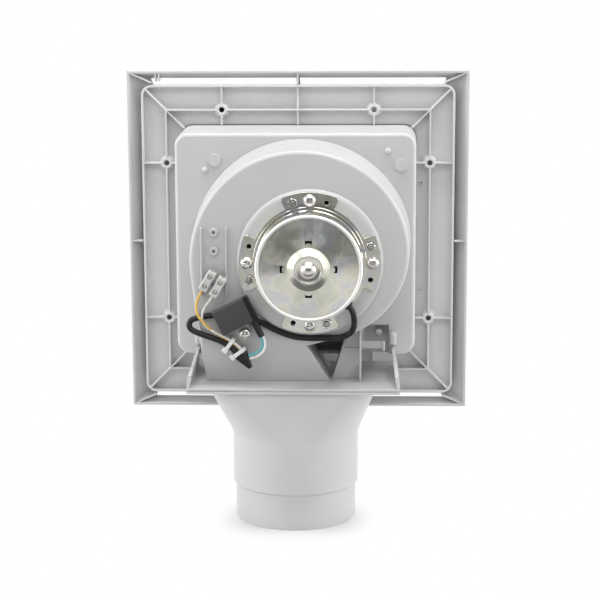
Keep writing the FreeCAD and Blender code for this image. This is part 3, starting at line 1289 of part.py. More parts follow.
def cable_ties():
    """Two ties, each a band round the bundle with its square head at one side."""
    ties = []
    for centre, along in TIES:
        low = -TIE_WIDTH / 2
        band = prism(bundle_section(BUNDLE_R + TIE_WALL, BUNDLE_WIDTH, low), V(0, 0, TIE_WIDTH))
        band = band.cut(prism(bundle_section(BUNDLE_R, BUNDLE_WIDTH, low), V(0, 0, TIE_WIDTH)))
        out = BUNDLE_R + TIE_WALL / 2
        across, deep, wide = TIE_HEAD
        head = Part.makeBox(across, deep, wide, V(-out - across, -deep / 2, -wide / 2))
        tie = join(band, head.makeFillet(TIE_HEAD_ROUND, head.Edges))
        ties.append(along_lead(tie, centre, along))
    return Part.makeCompound(ties)


def lead_splice_cap():
    """Flattened sleeve that closes over the ends of the lead and the wires and narrows to a tip."""
    start = bundle_section(BUNDLE_R + TIE_WALL, BUNDLE_WIDTH, 0)
    tip = bundle_section(SPLICE_TIP[0], SPLICE_TIP[1], SPLICE_LENGTH)
    tip.translate(V(SPLICE_SHIFT, 0, 0))
    return along_lead(Part.makeLoft([start, tip], True, True), SPLICE_START, SPLICE_ALONG)


def capacitor_screw_point():
    x, z = CAPACITOR_AT
    down = CAPACITOR_Z / 2 + CAPACITOR_EAR_OUT
    a = math.radians(CAPACITOR_TURN)
    return x + down * math.sin(a), z - down * math.cos(a)


def capacitor():
    """Moulded block with a flat ear on its lower side."""
    x, z = CAPACITOR_AT
    back = SCROLL_BACK - CAPACITOR_LIFT
    hx, hz = CAPACITOR_X / 2, CAPACITOR_Z / 2
    body = block(x - hx, x + hx, back - CAPACITOR_DEPTH, back, z - hz, z + hz)
    round_edges = [e for e in body.Edges if e.BoundBox.YMin < back - TOUCH]
    body = body.makeFillet(CAPACITOR_ROUND, round_edges)
    half = CAPACITOR_EAR / 2
    hole_z = z - hz - CAPACITOR_EAR_OUT
    ear = block(x - half, x + half, back - CAPACITOR_EAR_WALL, back, hole_z, z)
    ear = join(ear, disc(x, hole_z, CAPACITOR_EAR, back - CAPACITOR_EAR_WALL, back))
    whole = join(body, ear).cut(disc(x, hole_z, MOTOR_SCREW_D + 2 * FIT, back - CAPACITOR_EAR_WALL, back))
    return turn(whole, x, z, CAPACITOR_TURN)


def capacitor_sleeve():
    """Tapered sleeve over the capacitor's two wires."""
    x, z = CAPACITOR_AT
    y = SCROLL_BACK - CAPACITOR_LIFT - CAPACITOR_DEPTH / 2
    foot = V(x + SLEEVE_ALONG, y, z - CAPACITOR_Z / 2)
    sleeve = Part.makeCone(SLEEVE_D[0] / 2, SLEEVE_D[1] / 2, SLEEVE_LENGTH, foot, V(0, 0, -1))
    return turn(sleeve, x, z, CAPACITOR_TURN)


def capacitor_screw():
    x, z = capacitor_screw_point()
    head = SCROLL_BACK - CAPACITOR_LIFT - CAPACITOR_EAR_WALL
    return pan_screw(x, z, head, -1, MOTOR_SCREW_D, CAPACITOR_EAR_WALL + CAPACITOR_LIFT)


def terminal_base():
    return SCROLL_BACK - CHANNEL_HEIGHT


def insert_y():
    return terminal_base() - INSERT_D / 2 - INSERT_SET


def clamp_seat():
    """Where a clamp screw's foot stands, inside its insert."""
    return insert_y() - INSERT_D / 2 + CLAMP_SET


def bar_z(x, y, diameter, z0, z1):
    return Part.makeCylinder(diameter / 2, z1 - z0, V(x, y, z0), V(0, 0, 1))


def pole_places():
    x = TERMINAL_AT[0]
    return [x - TERMINAL_PITCH / 2, x + TERMINAL_PITCH / 2]


def terminal_block():
    """Two moulded poles with a web between them, bored for the inserts and the clamp screws."""
    x, z = TERMINAL_AT
    base = terminal_base()
    top = base - TERMINAL_HEIGHT
    hz = TERMINAL_LENGTH / 2
    half = TERMINAL_PITCH / 2
    pieces = [block(x - half, x + half, base - TERMINAL_WEB, base, z - hz / 2, z + hz / 2)]
    for px in pole_places():
        pole = block(px - TERMINAL_POLE / 2, px + TERMINAL_POLE / 2, top, base, z - hz, z + hz)
        round_edges = [e for e in pole.Edges if e.BoundBox.YMin < base - TOUCH]
        pieces.append(pole.makeFillet(TERMINAL_ROUND, round_edges))
    body = join(*pieces).cut(disc(x, z, CLAMP_D, base - TERMINAL_HEIGHT, base))
    for px in pole_places():
        body = body.cut(bar_z(px, insert_y(), INSERT_D + 2 * FIT, z - hz, z + hz))
        for step in (-CLAMP_STEP, CLAMP_STEP):
            body = body.cut(disc(px, z + step, CLAMP_D + 2 * CLAMP_CLEAR, top, insert_y()))
    return turn(body, x, z, TERMINAL_TURN)


def terminal_inserts():
    x, z = TERMINAL_AT
    inserts = []
    for px in pole_places():
        tube = bar_z(px, insert_y(), INSERT_D, z - INSERT_LENGTH / 2, z + INSERT_LENGTH / 2)
        tube = tube.cut(bar_z(px, insert_y(), INSERT_BORE_D, z - INSERT_LENGTH / 2, z + INSERT_LENGTH / 2))
        for step in (-CLAMP_STEP, CLAMP_STEP):
            tube = tube.cut(disc(px, z + step, CLAMP_D + 2 * FIT, clamp_seat() - INSERT_D, clamp_seat()))
        inserts.append(turn(tube, x, z, TERMINAL_TURN))
    return Part.makeCompound(inserts)


def terminal_screws():
    x, z = TERMINAL_AT
    seat = clamp_seat()
    top = seat - CLAMP_LENGTH
    half = CLAMP_SLOT[0] / 2
    floor = top + CLAMP_SLOT[1]
    screws = []
    for px in pole_places():
        for step in (-CLAMP_STEP, CLAMP_STEP):
            at = z + step
            screw = disc(px, at, CLAMP_D, top, seat)
            screw = screw.cut(block(px - CLAMP_D, px + CLAMP_D, top, floor, at - half, at + half))
            screws.append(turn(screw, x, z, TERMINAL_TURN))
    return Part.makeCompound(screws)


PIECES = (
    front_cover, mounting_frame, fan_box, box_screws, inlet_ring, inlet_ring_screws, scroll_casing,
    scroll_screws, outlet_adapter, damper_pin, damper_flap_front, damper_flap_rear, impeller, impeller_bush,
    impeller_nut, motor_shaft, rotor_core, stator_core, stator_windings, front_bearing, rear_bearing,
    bearing_retainers, motor_front_shell, motor_rear_can, motor_screws, motor_bolts, motor_nuts, lead_grommet,
    motor_lead, lead_splice_cap, live_wire, neutral_wire, capacitor_wire_teal, capacitor_wire_white,
    cable_ties, capacitor, capacitor_sleeve, capacitor_screw, terminal_block, terminal_inserts,
    terminal_screws,
)

os.makedirs("parts", exist_ok=True)
for piece in PIECES:
    shape = piece()
    name = piece.__name__
    print(name, "solids", len(shape.Solids), "valid", shape.isValid(), "volume", round(shape.Volume, 1))
    shape.exportStep("parts/" + name + ".step")
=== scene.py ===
import math

import bmesh
import bpy
from mathutils import Matrix, Vector


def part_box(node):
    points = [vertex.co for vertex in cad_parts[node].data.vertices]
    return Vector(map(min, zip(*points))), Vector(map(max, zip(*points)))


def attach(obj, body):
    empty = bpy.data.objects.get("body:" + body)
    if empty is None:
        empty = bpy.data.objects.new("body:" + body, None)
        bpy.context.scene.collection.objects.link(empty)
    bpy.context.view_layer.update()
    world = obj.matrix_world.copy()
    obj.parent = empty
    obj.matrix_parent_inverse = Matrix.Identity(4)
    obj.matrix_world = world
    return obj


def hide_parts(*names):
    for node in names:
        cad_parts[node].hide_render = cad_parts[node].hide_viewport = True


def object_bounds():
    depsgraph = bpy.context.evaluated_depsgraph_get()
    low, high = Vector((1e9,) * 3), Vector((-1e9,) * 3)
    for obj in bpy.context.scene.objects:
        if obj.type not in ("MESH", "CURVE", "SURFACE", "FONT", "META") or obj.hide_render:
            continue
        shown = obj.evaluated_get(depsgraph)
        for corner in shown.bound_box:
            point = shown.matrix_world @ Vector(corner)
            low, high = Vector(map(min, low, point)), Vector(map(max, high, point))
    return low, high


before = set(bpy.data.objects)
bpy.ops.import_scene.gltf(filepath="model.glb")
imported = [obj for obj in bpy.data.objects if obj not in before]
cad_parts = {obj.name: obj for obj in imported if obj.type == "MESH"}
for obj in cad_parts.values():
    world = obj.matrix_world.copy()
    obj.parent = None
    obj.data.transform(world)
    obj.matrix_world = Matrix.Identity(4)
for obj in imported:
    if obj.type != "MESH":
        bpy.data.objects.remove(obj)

cad_box = [list(corner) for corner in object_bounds()]


# Front cover: a square tray with leaning borders, injection moulded in light grey ABS.
# It snaps over the mounting frame, and air enters through long slots in its top and bottom borders.
# Every moulding has a fine spark-eroded grain over a faint cloudiness, and each moulding's grey is set a
# shade apart from the others.
scene = bpy.context.scene
MM = 0.001
MERGE = 0.002 * MM
CLOUD_SCALE, GRAIN_SCALE, GRAIN_DEPTH = 24.0, 2400.0, 0.03
SATIN = (0.3, 0.42)


def new_finish(name):
    """A material with its shader and the piece's own coordinates."""
    material = bpy.data.materials.new(name)
    material.use_nodes = True
    tree = material.node_tree
    place = tree.nodes.new("ShaderNodeTexCoord").outputs["Object"]
    return material, tree, tree.nodes["Principled BSDF"], place


def speckle(tree, place, scale, detail=2.0, distortion=0.0):
    """Soft noise over the piece, from 0 to 1."""
    noise = tree.nodes.new("ShaderNodeTexNoise")
    noise.inputs["Scale"].default_value = scale
    noise.inputs["Detail"].default_value = detail
    noise.inputs["Distortion"].default_value = distortion
    tree.links.new(place, noise.inputs["Vector"])
    return noise.outputs["Fac"]


def tones(tree, value, socket, *stops):
    """Colours spread over a value, from (position, colour) stops, into a socket."""
    ramp = tree.nodes.new("ShaderNodeValToRGB")
    stripes = ramp.color_ramp.elements
    while len(stripes) < len(stops):
        stripes.new(0.5)
    for stripe, (position, colour) in zip(stripes, stops):
        stripe.position = position
        stripe.color = (*colour, 1.0)
    tree.links.new(value, ramp.inputs["Fac"])
    tree.links.new(ramp.outputs["Color"], socket)


def spread(tree, value, socket, low, high):
    """A value stretched from its middle range to low and high, into a socket."""
    span = tree.nodes.new("ShaderNodeMapRange")
    span.inputs["From Min"].default_value = 0.3
    span.inputs["From Max"].default_value = 0.7
    span.inputs["To Min"].default_value = low
    span.inputs["To Max"].default_value = high
    tree.links.new(value, span.inputs["Value"])
    tree.links.new(span.outputs["Result"], socket)


def relief(tree, shader, height, depth, strength=1.0):
    """Fine unevenness of the surface, of a depth in millimetres."""
    bump = tree.nodes.new("ShaderNodeBump")
    bump.inputs["Strength"].default_value = strength
    bump.inputs["Distance"].default_value = depth * MM
    tree.links.new(height, bump.inputs["Height"])
    tree.links.new(bump.outputs["Normal"], shader.inputs["Normal"])


def moulded_finish(name, dark, light, grain=GRAIN_SCALE, rough=(0.4, 0.54), sheen=0.5):
    """Moulded plastic or rubber between two tones, with its grain and its range of roughness."""
    material, tree, shader, place = new_finish(name)
    cloud = speckle(tree, place, CLOUD_SCALE, 3.0)
    tones(tree, cloud, shader.inputs["Base Color"], (0.35, dark), (0.65, light))
    fine = speckle(tree, place, grain, 3.0)
    spread(tree, fine, shader.inputs["Roughness"], *rough)
    relief(tree, shader, fine, GRAIN_DEPTH, 0.35)
    shader.inputs["Specular IOR Level"].default_value = sheen
    return material


def placed(name, data):
    """Puts a mesh, a curve, a lamp or a lens into the scene as an object."""
    piece = bpy.data.objects.new(name, data)
    scene.collection.objects.link(piece)
    return piece


def stands_for(piece, node, body):
    """The piece takes a CAD node's place and moves with that body."""
    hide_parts(node)
    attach(piece, body)


def rounded_copy(node, edge, body, finish, steep=35.0, flat=0.4):
    """A copy of a CAD node with merged points and softly rounded edges, which stands for the node."""
    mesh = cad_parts[node].data.copy()
    mesh.name = node + "_form"
    for layer in ("custom_normal", "sharp_edge", "sharp_face"):
        if layer in mesh.attributes:
            mesh.attributes.remove(mesh.attributes[layer])
    shape = bmesh.new()
    shape.from_mesh(mesh)
    bmesh.ops.remove_doubles(shape, verts=shape.verts, dist=MERGE)
    bmesh.ops.dissolve_limit(shape, angle_limit=math.radians(flat), verts=shape.verts, edges=shape.edges)
    rounded = shape.edges.layers.float.new("bevel_weight_edge")
    for e in shape.edges:
        turn = math.degrees(e.calc_face_angle_signed(0.0))
        e[rounded] = 1.0 if turn > steep else 0.0
        e.smooth = turn > -steep if edge else abs(turn) < steep
    shape.to_mesh(mesh)
    shape.free()
    mesh.materials.clear()
    mesh.materials.append(finish)
    piece = placed(node + "_form", mesh)
    mesh.shade_smooth()
    if edge:
        bevel = piece.modifiers.new("rounded_edges", "BEVEL")
        bevel.width = edge * MM
        bevel.segments = 2
        bevel.limit_method = "WEIGHT"
        bevel.use_clamp_overlap = False
        even = piece.modifiers.new("even_shading", "WEIGHTED_NORMAL")
        even.keep_sharp = True
    stands_for(piece, node, body)
    return piece


cover_plastic = moulded_finish("cover_plastic", (0.565, 0.57, 0.57), (0.59, 0.595, 0.59), rough=SATIN)
rounded_copy("front_cover", 0.6, "cover", cover_plastic)


# Mounting frame: a ribbed ABS plate with a deep rim that is screwed flat to the wall.
# Crossed ribs stiffen it, and round bosses on them take the wall screws.
frame_plastic = moulded_finish("frame_plastic", (0.625, 0.63, 0.63), (0.65, 0.655, 0.65), rough=SATIN)
rounded_copy("mounting_frame", 0.6, "casing", frame_plastic)


# Fan box: the ABS box that goes into the wall and hangs in the frame by its lip.
# Its back is open for the scroll, and small bosses and pins locate that.
box_plastic = moulded_finish("box_plastic", (0.535, 0.54, 0.54), (0.56, 0.565, 0.56), rough=SATIN)
rounded_copy("fan_box", 0.15, "casing", box_plastic)


# Inlet ring: the ABS plate that closes the scroll's front, with a bell mouth into the impeller.
# Four screws hold it on pillars in the box.
rounded_copy("inlet_ring", 0.4, "casing", box_plastic)


# Scroll casing: the ABS drum round the impeller with its outlet duct, held in the box by two screws.
# Its wall leans out to its foot, as it was drawn from the mould, and a collar on its back takes the motor.
# Ribs and bosses for the wiring stand on that back, and right of the duct a latch and a web with a thin head.
ROUND_MERGE = 0.001 * MM
NEAR, SLACK = 0.01, 0.05
AXIS = (13.2, -1.7)
COLLAR_R, COLLAR_ROUND, COLLAR_TOP, SHOULDER = 58.5, 2.6, -110.5, 2.2
DRUM_AT, DRUM_R = (5.7, -1.7), 89.0
TONGUE_AT, TONGUE_R = (20.51, 6.85), 71.9
FOOT_Y, FOOT_END_Y, FOOT_BAND, DRAFT = -60.35, -60.1, 0.3, 5.2
WEB_HEAD = ((39.2, -75.4), (53.0, -75.4), (53.0, -56.2), (48.6, -58.2), (43.6, -60.2))
WEB_HEAD_Y = (-85.0, -83.4)


def polar_place(v, middle):
    """A point's offset from a middle in the XZ plane and its distance from it, in millimetres."""
    x, z = v.co.x / MM - middle[0], v.co.z / MM - middle[1]
    return x, z, math.hypot(x, z)


def widen_collar(shape):
    """Spreads the round of the collar's top edge inwards to a wide shoulder, and closes its face again."""
    face_points = set()
    round_points = []
    for v in shape.verts:
        x, z, out = polar_place(v, AXIS)
        below_top = v.co.y / MM - COLLAR_TOP
        if abs(below_top) < NEAR and out < COLLAR_R:
            face_points.add(v)
        if below_top < COLLAR_ROUND + SLACK and COLLAR_R - COLLAR_ROUND - SLACK < out < COLLAR_R + SLACK:
            round_points.append((v, x, z, (COLLAR_R - (COLLAR_R - out) * SHOULDER) / out))
    collar_face = [f for f in shape.faces if face_points.issuperset(f.verts)]
    outline = [e for f in collar_face for e in f.edges if len(set(e.link_faces) & set(collar_face)) == 1]
    bmesh.ops.delete(shape, geom=collar_face, context="FACES")
    for v, x, z, share in round_points:
        v.co.x = (AXIS[0] + x * share) * MM
        v.co.z = (AXIS[1] + z * share) * MM
    filled = bmesh.ops.triangle_fill(shape, edges=outline, use_beauty=True, normal=(0.0, -1.0, 0.0))
    for f in filled["geom"]:
        if isinstance(f, bmesh.types.BMFace):
            f.smooth = True


def lean_drum_wall(shape):
    """Cuts the drum's wall round its foot and moves that ring outwards, most at the top."""
    for y in (FOOT_Y, FOOT_END_Y):
        everything = shape.verts[:] + shape.edges[:] + shape.faces[:]
        bmesh.ops.bisect_plane(
            shape, geom=everything, plane_co=(0.0, y * MM, 0.0), plane_no=(0.0, 1.0, 0.0))
    foot = set()
    for v in shape.verts:
        off_drum = abs(polar_place(v, DRUM_AT)[2] - DRUM_R)
        off_tongue = abs(polar_place(v, TONGUE_AT)[2] - TONGUE_R)
        if abs(v.co.y / MM - FOOT_Y) < NEAR and min(off_drum, off_tongue) < FOOT_BAND:
            foot.add(v)
    for v in foot:
        x, z, out = polar_place(v, DRUM_AT)
        wider = DRAFT * max(0.0, (z / out + 0.5) / 1.5)
        v.co.x += wider * x / out * MM
        v.co.z += wider * z / out * MM
    for e in shape.edges:
        if foot.issuperset(e.verts):
            e.smooth = False


def finished_mesh(piece):
    """The piece with its modifiers applied, as a plain mesh, and without the cutters that they used."""
    bpy.context.view_layer.update()
    graph = bpy.context.evaluated_depsgraph_get()
    mesh = bpy.data.meshes.new_from_object(piece.evaluated_get(graph), depsgraph=graph)
    cutters = [modifier.object for modifier in piece.modifiers if modifier.type == "BOOLEAN"]
    piece.modifiers.clear()
    piece.data = mesh
    for cutter in cutters:
        bpy.data.objects.remove(cutter)
    return mesh


def merged_rounds(piece):
    """Applies the rounded edges and merges the points that they leave on each other where one ends."""
    mesh = finished_mesh(piece)
    shape = bmesh.new()
    shape.from_mesh(mesh)
    bmesh.ops.remove_doubles(shape, verts=shape.verts, dist=ROUND_MERGE)
    shape.to_mesh(mesh)
    shape.free()


def plain_mesh(shape, name):
    """A mesh of a finished shape, with its faces outwards."""
    bmesh.ops.recalc_face_normals(shape, faces=shape.faces)
    mesh = bpy.data.meshes.new(name)
    shape.to_mesh(mesh)
    shape.free()
    return mesh


def prism_form(name, corners, start, end):
    """An outline of (x, z) corners drawn out along Y from start to end, in millimetres."""
    shape = bmesh.new()
    base = shape.faces.new([shape.verts.new((x * MM, start * MM, z * MM)) for x, z in corners])
    for v in bmesh.ops.extrude_face_region(shape, geom=[base])["geom"]:
        if isinstance(v, bmesh.types.BMVert):
            v.co.y = end * MM
    return plain_mesh(shape, name)


scroll_plastic = moulded_finish("scroll_plastic", (0.515, 0.518, 0.515), (0.54, 0.54, 0.536), rough=SATIN)
scroll = rounded_copy("scroll_casing", 0.5, "casing", scroll_plastic)
scroll_shape = bmesh.new()
scroll_shape.from_mesh(scroll.data)
widen_collar(scroll_shape)
lean_drum_wall(scroll_shape)
scroll_shape.to_mesh(scroll.data)
scroll_shape.free()
merged_rounds(scroll)
web_head = placed("scroll_web_head", prism_form("scroll_web_head", WEB_HEAD, *WEB_HEAD_Y))
web_head.data.materials.append(scroll_plastic)
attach(web_head, "casing")


# Pan head screws of the box, the inlet ring and the scroll, of bright zinc plated steel.
# They are driven along Y with a cross driver, so each one stopped at a turn of its own.
SMALL_SCREW_D = 3.0
HEAD_RISE = 0.7


def steel_finish(name, dark, light, rough, cloud=90.0):
    """Bare or plated metal between two tones, with a faint haze."""
    material, tree, shader, place = new_finish(name)
    haze = speckle(tree, place, cloud, 4.0, 0.6)
    tones(tree, haze, shader.inputs["Base Color"], (0.3, dark), (0.7, light))
    fine = speckle(tree, place, 1500.0, 4.0)
    spread(tree, fine, shader.inputs["Roughness"], *rough)
    relief(tree, shader, fine, 0.01, 0.2)
    shader.inputs["Metallic"].default_value = 1.0
    return material


def turned_form(name, profile, steps):
    """A closed solid turned round Y, from (radius, y) points in millimetres, the ends of them on the axis."""
    shape = bmesh.new()
    rings = []
    for radius, y in profile:
        if radius == 0.0:
            rings.append([shape.verts.new((0.0, y * MM, 0.0))])
            continue
        turns = [2 * math.pi * k / steps for k in range(steps)]
        rings.append([
            shape.verts.new((radius * MM * math.cos(a), y * MM, radius * MM * math.sin(a))) for a in turns
        ])
    for low, high in zip(rings, rings[1:]):
        for k in range(steps):
            n = (k + 1) % steps
            corners = [low[k % len(low)], low[n % len(low)], high[n % len(high)], high[k % len(high)]]
            shape.faces.new(list(dict.fromkeys(corners)))
    return plain_mesh(shape, name)


def cut_from(piece, cutter_mesh):
    """Takes a form out of a piece, once the piece is finished."""
    cut = piece.modifiers.new("cut", "BOOLEAN")
    cut.object = placed(cutter_mesh.name, cutter_mesh)
    cut.operation = "DIFFERENCE"
    cut.solver = "EXACT"


def pan_head(name, shank_d, shank, collar=0.0):
    """A pan head screw along Y in millimetres, its head to -Y of the origin, with a cut for the driver."""
    head = 1.15 * shank_d
    high = HEAD_RISE * shank_d
    crown = [
        (0.0, -high), (0.45 * head, -0.98 * high), (0.78 * head, -0.85 * high), (0.94 * head, -0.58 * high),
        (head, -0.28 * high), (head + collar, -0.24 * high), (head + collar, 0.0),
    ]
    thread = [
        (0.5 * shank_d, 0.0), (0.5 * shank_d, shank - 0.3 * shank_d), (0.25 * shank_d, shank), (0.0, shank),
    ]
    screw = placed(name, turned_form(name, crown + thread, 32))
    reach, half = 0.62 * head, 0.11 * shank_d
    for x, z in ((reach, half), (half, reach)):
        corners = ((-x, -z), (x, -z), (x, z), (-x, z))
        cut_from(screw, prism_form("driver", corners, -1.5 * high, -0.2 * high))
    soft = screw.modifiers.new("soft_edges", "BEVEL")
    soft.width = 0.03 * shank_d * MM
    soft.limit_method = "ANGLE"
    soft.angle_limit = math.radians(40)
    mesh = finished_mesh(screw)
    mesh.shade_smooth()
    mesh.set_sharp_from_angle(angle=math.radians(38))
    return screw


def fastener_tree():
    """Puts one fastener on each place, each at a turn of its own about Y."""
    tree = bpy.data.node_groups.new("fasteners_on_places", "GeometryNodeTree")
    sockets = {}
    for label, kind in (
        ("Places", "Geometry"), ("Fastener", "Object"), ("Size", "Float"), ("Turn", "Float"),
        ("Turn seed", "Int"), ("Finish", "Material"),
    ):
        sockets[label] = tree.interface.new_socket(label, in_out="INPUT", socket_type="NodeSocket" + kind)
    tree.interface.new_socket("Fasteners", in_out="OUTPUT", socket_type="NodeSocketGeometry")
    entry = tree.nodes.new("NodeGroupInput")
    leave = tree.nodes.new("NodeGroupOutput")
    info = tree.nodes.new("GeometryNodeObjectInfo")
    random = tree.nodes.new("FunctionNodeRandomValue")
    random.data_type = "FLOAT"
    spin = tree.nodes.new("ShaderNodeCombineXYZ")
    euler = tree.nodes.new("FunctionNodeEulerToRotation")
    scatter = tree.nodes.new("GeometryNodeInstanceOnPoints")
    real = tree.nodes.new("GeometryNodeRealizeInstances")
    paint = tree.nodes.new("GeometryNodeSetMaterial")
    join = tree.links.new
    join(entry.outputs["Fastener"], info.inputs["Object"])
    join(entry.outputs["Turn"], random.inputs[3])
    join(entry.outputs["Turn seed"], random.inputs["Seed"])
    join(random.outputs[1], spin.inputs["Y"])
    join(spin.outputs["Vector"], euler.inputs["Euler"])
    join(entry.outputs["Places"], scatter.inputs["Points"])
    join(info.outputs["Geometry"], scatter.inputs["Instance"])
    join(euler.outputs["Rotation"], scatter.inputs["Rotation"])
    join(entry.outputs["Size"], scatter.inputs["Scale"])
    join(scatter.outputs["Instances"], real.inputs["Geometry"])
    join(real.outputs["Geometry"], paint.inputs["Geometry"])
    join(entry.outputs["Finish"], paint.inputs["Material"])
    join(paint.outputs["Geometry"], leave.inputs["Fasteners"])
    return tree, {label: socket.identifier for label, socket in sockets.items()}


fasteners_on_places, fastener_inputs = fastener_tree()
bright_steel = steel_finish("bright_steel", (0.62, 0.61, 0.58), (0.78, 0.77, 0.74), (0.16, 0.28))


def fastener_group(node, fastener, places, seed, from_room=False):
    """The bright fasteners of one CAD node on their places, driven from the wall side or from the room."""
    mesh = bpy.data.meshes.new(node + "_set")
    mesh.from_pydata([Vector(p) * MM for p in places], [], [])
    piece = placed(node + "_set", mesh)
    if from_room:
        fastener.data.transform(Matrix.Rotation(math.pi, 4, "Z"))
    spread_out = piece.modifiers.new("fasteners", "NODES")
    spread_out.node_group = fasteners_on_places
    values = {
        "Fastener": fastener, "Size": 1.0, "Turn": 2 * math.pi, "Turn seed": seed, "Finish": bright_steel,
    }
    for label, value in values.items():
        spread_out[fastener_inputs[label]] = value
    finished_mesh(piece)
    bpy.data.objects.remove(fastener)
    stands_for(piece, node, "casing")


def islands(node):
    """Middle of each separate solid of a node in the XZ plane, in millimetres."""
    shape = bmesh.new()
    shape.from_mesh(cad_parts[node].data)
    bmesh.ops.remove_doubles(shape, verts=shape.verts, dist=MERGE)
    unseen = set(shape.verts)
    middles = []
    while unseen:
        group = [unseen.pop()]
        low, high = group[0].co.copy(), group[0].co.copy()
        while group:
            v = group.pop()
            for k in range(3):
                low[k] = min(low[k], v.co[k])
                high[k] = max(high[k], v.co[k])
            for e in v.link_edges:
                other = e.other_vert(v)
                if other in unseen:
                    unseen.remove(other)
                    group.append(other)
        middles.append(((low.x + high.x) / 2 / MM, (low.z + high.z) / 2 / MM))
    shape.free()
    return sorted(middles)


for node, shank, seat, seed in (
    ("box_screws", 4.5, 12.5, 3), ("inlet_ring_screws", 10.0, -35.5, 5), ("scroll_screws", 7.0, -54.5, 8),
):
    places = [(x, seat, z) for x, z in islands(node)]
    fastener_group(node, pan_head(node + "_one", SMALL_SCREW_D, shank), places, seed, from_room=True)


# Impeller: a wheel moulded in grey plastic, with curved blades between a dished back and a front ring.
# A brass bush is moulded into its hub, and a nut with a reversed thread holds it on the shaft.
impeller_plastic = moulded_finish("impeller_plastic", (0.33, 0.335, 0.34), (0.39, 0.39, 0.395), 1900.0)
brass = steel_finish("brass", (0.62, 0.44, 0.17), (0.78, 0.58, 0.26), (0.2, 0.34))
rounded_copy("impeller", 0.0, "rotor", impeller_plastic)
rounded_copy("impeller_bush", 0.2, "rotor", brass)
rounded_copy("impeller_nut", 0.3, "rotor", bright_steel)


# Outlet adapter: the ABS plate, tapering neck and round spigot that the duct is pushed over.
# Two leaning arms hook it over posts on the box.
rounded_copy("outlet_adapter", 0.3, "casing", cover_plastic, 38.0)


# Back draught damper: two thin plastic half flaps that share a steel pin across the spigot.
# They hang open below the pin, and the draught from outside shuts them against a seat.
flap_plastic = moulded_finish("flap_plastic", (0.56, 0.56, 0.55), (0.62, 0.62, 0.61), 2000.0)
rounded_copy("damper_flap_front", 0.2, "damper_front", flap_plastic)
rounded_copy("damper_flap_rear", 0.2, "damper_rear", flap_plastic)
rounded_copy("damper_pin", 0.2, "casing", bright_steel)


# Motor inside: a ground shaft in two bronze bearings, a laminated rotor and stator, and two copper windings.
# The laminations are stacked along the shaft, and sheet steel cups hold the bearings in the shells.
def striped_finish(name, dark, light, sheet, rough):
    """Metal with stripes across Y, about six sheets or wires apart, as a stack or a winding shows them."""
    material, tree, shader, place = new_finish(name)
    bands = tree.nodes.new("ShaderNodeTexWave")
    bands.bands_direction = "Y"
    bands.inputs["Scale"].default_value = 1.0 / (sheet * MM) / 20.0
    bands.inputs["Distortion"].default_value = 0.4
    tree.links.new(place, bands.inputs["Vector"])
    tones(tree, bands.outputs["Fac"], shader.inputs["Base Color"], (0.2, dark), (0.8, light))
    spread(tree, speckle(tree, place, 700.0), shader.inputs["Roughness"], *rough)
    relief(tree, shader, bands.outputs["Fac"], 0.1, 0.4)
    shader.inputs["Metallic"].default_value = 1.0
    return material


ground_steel = steel_finish("ground_steel", (0.55, 0.55, 0.56), (0.68, 0.68, 0.69), (0.14, 0.24))
lamination_steel = striped_finish("lamination_steel", (0.16, 0.16, 0.17), (0.3, 0.3, 0.31), 0.5, (0.4, 0.55))
copper_wire = striped_finish("copper_wire", (0.42, 0.13, 0.05), (0.72, 0.28, 0.12), 0.6, (0.25, 0.4))
sintered_bronze = steel_finish("sintered_bronze", (0.36, 0.24, 0.12), (0.48, 0.33, 0.17), (0.38, 0.55), 400.0)
rounded_copy("motor_shaft", 0.2, "rotor", ground_steel)
rounded_copy("rotor_core", 0.2, "rotor", lamination_steel)
rounded_copy("stator_core", 0.2, "casing", lamination_steel)
rounded_copy("stator_windings", 0.0, "casing", copper_wire)
rounded_copy("front_bearing", 0.0, "casing", sintered_bronze)
rounded_copy("rear_bearing", 0.0, "casing", sintered_bronze)
rounded_copy("bearing_retainers", 0.0, "casing", bright_steel)


# Motor shells: two half shells drawn from sheet steel, zinc plated with a yellowish iridescent passivation.
# The front one has four petals that are screwed to the scroll.
# The rear can has a rolled rim, four slots and a boss with a dome over the bearing.
FLANGE_BACK = -111.7
RIM_R, RIM_ROLL, RIM_BACK = 42.0, 1.5, -140.2
FACE_EDGE, FACE_Y = 38.9, -138.6
DOME_R, DOME_FOOT, DOME_RISE = 6.6, -146.3, 4.8
CAN_STEPS = 160
SLOT_R, SLOT_LENGTH, SLOT_WIDTH, SLOT_BAR, SLOT_LEG = 21.0, 5.4, 2.6, 1.8, 1.0
SLOT_CUT_Y = (-146.0, -136.0)


def zinc_finish():
    """Plated sheet whose passivation drifts between greenish, yellow and lilac greys."""
    material, tree, shader, place = new_finish("zinc_plated_steel")
    cloud = speckle(tree, place, 26.0, 3.0, 1.6)
    tones(
        tree, cloud, shader.inputs["Base Color"],
        (0.30, (0.535, 0.555, 0.52)), (0.42, (0.60, 0.60, 0.50)), (0.50, (0.65, 0.64, 0.575)),
        (0.58, (0.60, 0.583, 0.59)), (0.70, (0.555, 0.578, 0.58)),
    )
    smear = speckle(tree, place, 90.0, 3.0, 0.8)
    spread(tree, smear, shader.inputs["Roughness"], 0.19, 0.28)
    relief(tree, shader, speckle(tree, place, 50.0, 2.0), 0.05, 0.06)
    shader.inputs["Metallic"].default_value = 1.0
    return material


